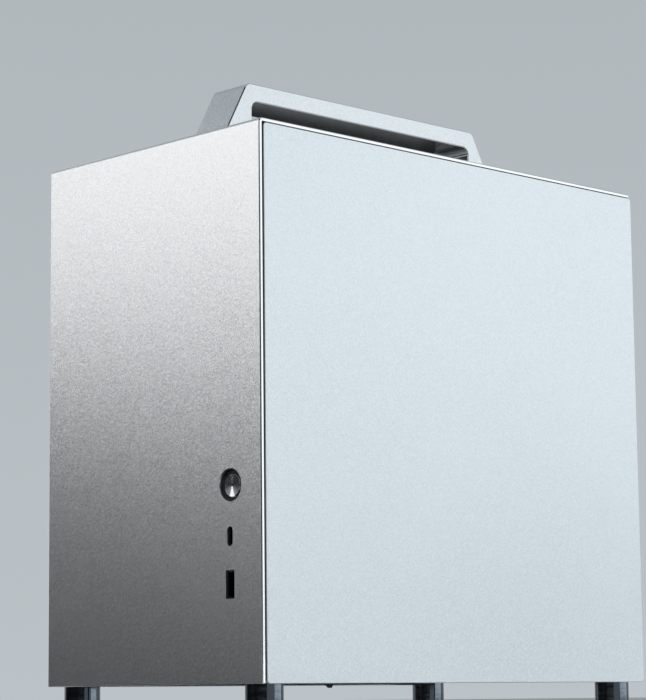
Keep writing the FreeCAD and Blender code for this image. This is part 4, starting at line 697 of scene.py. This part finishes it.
can, base = capacitor(3.1, 7.2)
wide_spots = up_the_board(62.0, 72.0, 8.2, 9) + along_the_board(132.0, 162.0, 7.6, 3)
steps = board_steps(wide_spots)
cans = repeat(can, steps)
bases = repeat(base, steps)
can, base = capacitor(2.4, 5.4)
slim_spots = up_the_board(146.0, 18.0, 6.6, 4) + along_the_board(40.0, 93.0, 6.4, 3)
steps = board_steps(slim_spots)
fit_out("board_capacitors", cans + repeat(can, steps), fin_finish)
fit_out("capacitor_bases", bases + repeat(base, steps), black_finish)

choke = board_block(76.0, 155.4, 8.0, 8.0, 6.2)
on_faces(choke, facing_along(-X), inset(1.1 * MM), move((0.3 * MM, 0, 0)))
soften(choke, 0.45 * MM)
choke_pitch = 11.2
chokes = repeat(choke, [Y * choke_pitch * i * MM for i in range(5)])
fit_out("board_chokes", chokes, choke_finish)

# How far back, how far up, depth, height, how far out and pins on a side, in millimetres.
chip_sizes = (
    (78.0, 46.0, 9.0, 11.0, 1.6, 15),
    (93.0, 47.0, 6.0, 9.0, 1.3, 11),
    (39.0, 108.0, 5.0, 8.0, 1.5, 8),
    (39.0, 124.0, 4.0, 5.0, 1.5, 4),
    (140.0, 50.0, 5.0, 7.0, 1.2, 9),
    (150.5, 24.0, 6.0, 8.0, 1.2, 10),
)
packages, legs = [], []
for chip_size in chip_sizes:
    package, feet = chip(*chip_size)
    packages.append(package)
    legs += feet
fit_out("board_chips", packages, black_finish)
fit_out("board_chip_legs", legs, zinc_finish)

sink = board_block(40.0, 39.5, 24.0, 22.0, 2.4)
soften(sink, 0.4 * MM)
fin = board_block(40.6, 40.1, 22.8, 1.2, 6.2)
on_faces(fin, facing_along(-X), resize((1, 0.94, 0.6), spot(52.0, 40.7, 6.2)))
soften(fin, 0.15 * MM, 1)
fin_pitch = 2.82
fins = repeat(fin, [Z * fin_pitch * i * MM for i in range(8)])
fit_out("chipset_heatsink", [sink] + fins, cover_finish)

cell = new_rod(spot(122.0, 50.5, 1.2), -X, 10.0 * MM, 3.1 * MM, 64)
on_faces(cell, facing_along(-X), inset(0.9 * MM), push((-0.15 * MM, 0, 0)))
soften(cell, 0.25 * MM)
fit_out("coin_cell", [cell], zinc_finish)
holder = new_rod(spot(122.0, 50.5), -X, 11.2 * MM, 3.4 * MM, 64)
on_faces(holder, facing_along(-X), inset(1.0 * MM), push((2.3 * MM, 0, 0)))
soften(holder, 0.2 * MM, 1)
clip = board_block(120.4, 60.0, 3.2, 2.6, 4.6)
clip_tip = spot(122.0, 58.4, 4.6)
on_faces(clip, facing_along(-Z), push((0, 0, -1.6 * MM)), resize((0.3, 1, 1), clip_tip))
soften(clip, 0.2 * MM, 1)
fit_out("coin_cell_holder", [holder], black_finish)
fit_out("coin_cell_clip", [clip], zinc_finish)

sata = board_block(38.0, 14.6, 16.0, 6.4, 8.6)
on_faces(sata, facing_along(-X), inset(0.9 * MM), push((7.0 * MM, 0, 0)))
soften(sata, 0.2 * MM, 1)
fit_out("drive_sockets", repeat(sata, [Z * 0, Z * 7.6 * MM]), black_finish)

latches = []
for slot_y in (-29.4, -19.9):
    for foot_z, away in ((143.9, -Z), (288.8, Z)):
        low_y = slot_y * MM + 0.6 * MM
        low = Vector((board_low.x - 9.0 * MM, low_y, foot_z * MM))
        high = Vector((board_low.x, low_y + 5.2 * MM, foot_z * MM + 3.5 * MM))
        latch = new_block(low, high)
        leaned_back = move(away * 1.6 * MM)
        on_faces(latch, facing_along(-X), push((-3.4 * MM, 0, 0)), leaned_back, inset(0.5 * MM))
        soften(latch, 0.35 * MM)
        latches.append(latch)
fit_out("memory_latches", latches, latch_finish)

resistor = new_block(spot(-0.5, -0.3, 0.45), spot(0.5, 0.3))
on_faces(resistor, facing_both_ways(Y), inset(0.04 * MM), swell(0.03 * MM))
places = along_the_board(70.4, 38.6, 2.9, 13) + along_the_board(72.0, 62.2, 2.7, 14)
places += along_the_board(72.5, 151.6, 2.6, 21) + up_the_board(55.6, 70.0, 3.1, 25)
places += up_the_board(52.4, 72.0, 3.7, 20) + in_threes(30.0, 98.0, 2.6, 4.4, 30)
places += in_threes(58.0, 17.0, 2.4, 4.2, 12)
small = repeat(resistor, board_steps(places))
fit_out("board_small_parts", small, ceramic_finish)


# ---- parts on the graphics card ----

card_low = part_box("gpu_circuit_board")[0]
chip_x, chip_y = 1.0, 50.0
card_middle = Vector((chip_x * MM, chip_y * MM, 137.5 * MM))

brace_thickness = 1.2
hub_low = card_middle - Vector((8, 8, 0)) * MM
hub_high = card_middle + Vector((8, 8, brace_thickness)) * MM
brace = new_block(hub_low, hub_high)
for side in (X, -X, Y, -Y):
    narrow = (1.0 if side.x else 0.45, 1.0 if side.y else 0.45, 1.0)
    half_arm = push(side * 12 * MM)
    on_faces(brace, facing_along(side), half_arm, resize(narrow, card_middle), half_arm)
take_up(brace)
bpy.ops.object.mode_set(mode="EDIT")
bpy.ops.mesh.select_all(action="SELECT")
bpy.ops.transform.rotate(value=math.radians(45), orient_axis="Z", center_override=card_middle)
bpy.ops.object.mode_set(mode="OBJECT")
on_faces(brace, facing_along(Z), inset(1.0 * MM), move((0, 0, -0.4 * MM)))
soften(brace, 0.2 * MM, 1)
fit_out("card_brace", [brace], screw_finish)

corner = 19.5 * MM
screw_foot = card_middle + Vector((corner, corner, brace_thickness * MM))
head = new_rod(screw_foot, Z, 2.6 * MM, 1.8 * MM, 20)
on_faces(head, facing_along(Z), inset(1.2 * MM), push((0, 0, -0.9 * MM)))
soften(head, 0.2 * MM)
around = [Vector((a, b, 0)) * 2 * corner for a in (0, -1) for b in (0, -1)]
fit_out("card_brace_screws", repeat(head, around), zinc_finish)

grain = new_block(card_low, card_low + Vector((1.6, 0.8, 0.7)) * MM)
on_faces(grain, facing_both_ways(X), inset(0.05 * MM), swell(0.04 * MM))
brace_reach = 30
places = []
for row in range(11):
    for column in range(16):
        x = -40 + row * 8.4 + (column % 3) * 1.3
        y = -20 + column * 8.9 + (row % 2) * 2.2
        off_brace = max(abs(x - chip_x), abs(y - chip_y)) > brace_reach
        if off_brace and (row * 5 + column * 3) % 7 < 5:
            places.append(Vector((x * MM, y * MM, card_middle.z)) - card_low)
fit_out("card_small_parts", repeat(grain, places), ceramic_finish)


# ---- fan hubs ----

def hub_cap(name, rotor, axis, radius, body):
    """A plain disc with a raised rim at the middle of a rotor's open face."""
    low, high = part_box(rotor)
    middle = (low + high) / 2
    along = Vector([abs(part) for part in axis])
    face = high if sum(axis) > 0 else low
    foot = middle + along * (face - middle).dot(along) - axis * 0.05 * MM
    disc = new_rod(foot, axis, radius * MM, 0.5 * MM, 48)
    on_faces(disc, facing_along(axis), inset(0.8 * MM), push(-axis * 0.25 * MM))
    soften(disc, 0.1 * MM)
    return fit_out(name, [disc], hub_finish, body)


hub_cap("rear_fan_cap", "rear_fan_rotor", -Y, 11.5, "rear_fan")
hub_cap("cooler_fan_cap", "cooler_fan_rotor", -Y, 11.5, "cooler_fan")
hub_cap("supply_fan_cap", "psu_fan_rotor", Y, 15.0, "supply_fan")
hub_cap("card_front_fan_cap", "gpu_fan_rotor_front", -Z, 10.5, "card_fan_front")
hub_cap("card_rear_fan_cap", "gpu_fan_rotor_rear", -Z, 10.5, "card_fan_rear")


# ---- socket contacts ----

def contact(face, length, side, along):
    """A sprung gold strip that lies on a tongue and lifts at its mouth end."""
    low = face - Vector((0, 0, 0.5)) * MM
    high = face + side * 0.12 * MM + along * length * MM + Z * 0.5 * MM
    strip = new_block(low, high)
    lip = (move(-side * 0.08 * MM), push(-along * 0.4 * MM), move(side * 0.05 * MM))
    on_faces(strip, facing_along(-along), *lip)
    return strip


usb_low, usb_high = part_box("front_usb_a_port")
usb_middle = (usb_low + usb_high) / 2
front_tongue = Vector((usb_middle.x + 0.2 * MM, usb_low.y + 3.6 * MM, usb_middle.z))
four_rows = [Z * step * MM for step in (-3.5, -1.0, 1.0, 3.5)]
strips = repeat(contact(front_tongue, 8.0, -X, Y), four_rows)
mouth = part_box("rear_io_ports")[1].y
rear_socket_heights = (280.9, 262.9, 203.4)
rear_socket_outs = (4.2, 11.6)
for height in rear_socket_heights:
    for out in rear_socket_outs:
        tongue = Vector((board_low.x - (out - 0.4) * MM, mouth - 5.0 * MM, height * MM))
        strips += repeat(contact(tongue, 4.6, -X, -Y), four_rows)
fit_out("usb_contacts", strips, gold_finish)

network_z = 223.4 * MM
wire = new_block(
    (board_low.x - 3.0 * MM, mouth - 10.5 * MM, network_z - 0.25 * MM),
    (board_low.x - 2.5 * MM, mouth - 3.0 * MM, network_z + 0.25 * MM),
)
on_faces(wire, facing_along(-Y), move((-2.4 * MM, 0, 0)))
soften(wire, 0.06 * MM, 1)
pins = repeat(wire, [Z * (step - 3.5) * 1.2 * MM for step in range(8)])
fit_out("network_contacts", pins, gold_finish)

lens = new_block(
    (board_low.x - 12.6 * MM, mouth - 0.3 * MM, network_z + 3.4 * MM),
    (board_low.x - 11.4 * MM, mouth + 0.15 * MM, network_z + 6.2 * MM),
)
soften(lens, 0.2 * MM)
fit_out("network_lamps", repeat(lens, [Z * 0, Z * -9.6 * MM]), lens_finish)

jack = Vector((board_low.x - 6.3 * MM, mouth - 0.1 * MM, 178.9 * MM))
ring = new_rod(jack, Y, 3.6 * MM, 0.8 * MM, 40)
on_faces(ring, facing_along(Y), inset(1.7 * MM), push((0, -0.85 * MM, 0)))
soften(ring, 0.2 * MM)
fit_out("audio_ring", [ring], black_finish)


# ---- studio ----

def plane(name, centre, facing, width, height):
    """A flat sheet that faces along a direction."""
    bpy.ops.object.select_all(action="DESELECT")
    turn = Vector(facing).to_track_quat("Z", "Y").to_euler()
    bpy.ops.mesh.primitive_plane_add(size=1, location=centre, rotation=turn)
    sheet = bpy.context.object
    sheet.name = name
    sheet.scale = (width, height, 1)
    bpy.ops.object.transform_apply(location=True, rotation=True, scale=True)
    return sheet


def softbox(name, centre, target, width, height, level, colour=(1, 1, 1)):
    """A rectangular lamp of even brightness that faces its target."""
    lamp = bpy.data.lights.new(name, "AREA")
    lamp.shape = "RECTANGLE"
    lamp.size = width
    lamp.size_y = height
    lamp.energy = level * math.pi * width * height
    lamp.color = colour
    holder = bpy.data.objects.new(name, lamp)
    bpy.context.scene.collection.objects.link(holder)
    holder.location = centre
    holder.rotation_euler = (Vector(target) - Vector(centre)).to_track_quat("-Z", "Y").to_euler()
    holder.visible_camera = False
    return holder


def card(name, finish, centre, facing, width, height):
    """A card that only reflections see, and that throws no shadow."""
    sheet = plane(name, centre, facing, width, height)
    sheet.data.materials.append(finish)
    sheet.visible_camera = False
    sheet.visible_diffuse = False
    sheet.visible_shadow = False


def matt(name, colour):
    """Matt paper for the floor and the cards."""
    shader = Shader(name)
    fibre = shader.noise(600.0, 2.0)
    tone = shader.mix(fibre, shaded(colour, 0.985), colour)
    return shader.finish(Base_Color=tone, Roughness=0.9, Normal=shader.bump(fibre, 0.00003))


def set_world(level_colour, top_colour):
    """A plain pale surround that is a little darker overhead."""
    fade_end = 0.8
    world = bpy.data.worlds.new("studio")
    bpy.context.scene.world = world
    world.use_nodes = True
    nodes, links = world.node_tree.nodes, world.node_tree.links
    place = nodes.new("ShaderNodeTexCoord")
    height = nodes.new("ShaderNodeSeparateXYZ")
    fade = nodes.new("ShaderNodeMapRange")
    fade.inputs["From Max"].default_value = fade_end
    blend = nodes.new("ShaderNodeMix")
    blend.data_type = "RGBA"
    blend.inputs[6].default_value = (*level_colour, 1)
    blend.inputs[7].default_value = (*top_colour, 1)
    links.new(place.outputs["Generated"], height.inputs[0])
    links.new(height.outputs["Z"], fade.inputs["Value"])
    links.new(fade.outputs[0], blend.inputs[0])
    links.new(blend.outputs[2], nodes["Background"].inputs["Color"])


def set_camera(place, yaw, pitch, roll, lens):
    """A camera turned left from +Y by yaw, up by pitch and over by roll, in degrees."""
    yaw, pitch, roll = (math.radians(angle) for angle in (yaw, pitch, roll))
    level_right = Vector((math.cos(yaw), math.sin(yaw), 0))
    ahead = math.cos(pitch)
    forward = Vector((-math.sin(yaw) * ahead, math.cos(yaw) * ahead, math.sin(pitch)))
    level_down = forward.cross(level_right)
    right = level_right * math.cos(roll) - level_down * math.sin(roll)
    down = level_right * math.sin(roll) + level_down * math.cos(roll)
    camera = bpy.data.objects.new("camera", bpy.data.cameras.new("camera"))
    bpy.context.scene.collection.objects.link(camera)
    turn = Matrix((right, -down, -forward)).transposed().to_4x4()
    camera.matrix_world = Matrix.Translation(place) @ turn
    camera.data.lens = lens
    camera.data.sensor_width = 36.0
    camera.data.clip_start = 0.01
    bpy.context.scene.camera = camera


floor = plane("studio_floor", (0, 0, 0), Z, 14, 14)
floor.data.materials.append(matt("studio_paper", (0.74, 0.74, 0.74)))

# Black cards stand in for the dark part of a studio, and a glowing one lights the feet.
flag_finish = matt("studio_black", (0.02, 0.02, 0.02))
glow_finish = matt("studio_white", (0.8, 0.8, 0.8))
glow = glow_finish.node_tree.nodes["Principled BSDF"]
glow.inputs["Emission Color"].default_value = (0.85, 0.95, 1.0, 1.0)
glow.inputs["Emission Strength"].default_value = 1.8
card("front_flag", flag_finish, (-0.86, -0.97, 0.16), (0.72, 0.69, 0.0), 1.4, 0.38)
card("floor_flag", flag_finish, (-0.28, -0.47, 0.003), (0.0, 0.0, 1.0), 0.90, 0.62)
card("side_flag", flag_finish, (0.70, 0.52, 0.003), (0.0, 0.0, 1.0), 1.0, 0.8)
card("camera_flag", flag_finish, (1.05, -1.15, 0.36), (-0.68, 0.73, 0.0), 0.5, 0.55)
card("roof_flag", flag_finish, (-0.36, 0.345, 0.265), (0.7, -0.7, 0.0), 0.62, 0.38)
card("high_flag", flag_finish, (0.51, -0.43, 0.94), (-0.565, 0.475, -0.68), 0.45, 0.45)
card("near_flag", flag_finish, (0.25, -1.15, 0.09), (0.0, 1.0, 0.0), 1.1, 0.18)
card("low_flag", flag_finish, (0.95, -1.02, 0.05), (-0.72, 0.69, 0.0), 0.8, 0.09)
card("foot_card", glow_finish, (0.76, 0.60, 0.026), (-0.68, -0.73, 0.0), 1.0, 0.03)

softbox("panel_light", (0.98, 0.85, 0.58), (0.087, 0.0, 0.16), 1.8, 1.05, 0.62, (0.97, 0.99, 1.0))
softbox("front_light", (-0.75, -0.95, 0.72), (0.0, -0.15, 0.25), 1.0, 0.9, 0.95, (1.0, 0.985, 0.97))
softbox("left_light", (-1.25, 0.62, 0.62), (-0.08, 0.0, 0.15), 1.3, 1.0, 0.55, (0.98, 0.99, 1.0))
top_light = softbox("top_light", (0.0, 0.1, 1.6), (0.0, 0.0, 0.3), 1.3, 1.3, 1.8)
top_light.visible_glossy = False
set_world((0.50, 0.54, 0.57), (0.33, 0.36, 0.38))
set_camera((0.9823, -0.9685, 0.0152), yaw=46.073, pitch=8.144, roll=-0.587, lens=124.7)
bpy.context.scene.view_settings.view_transform = "Standard"
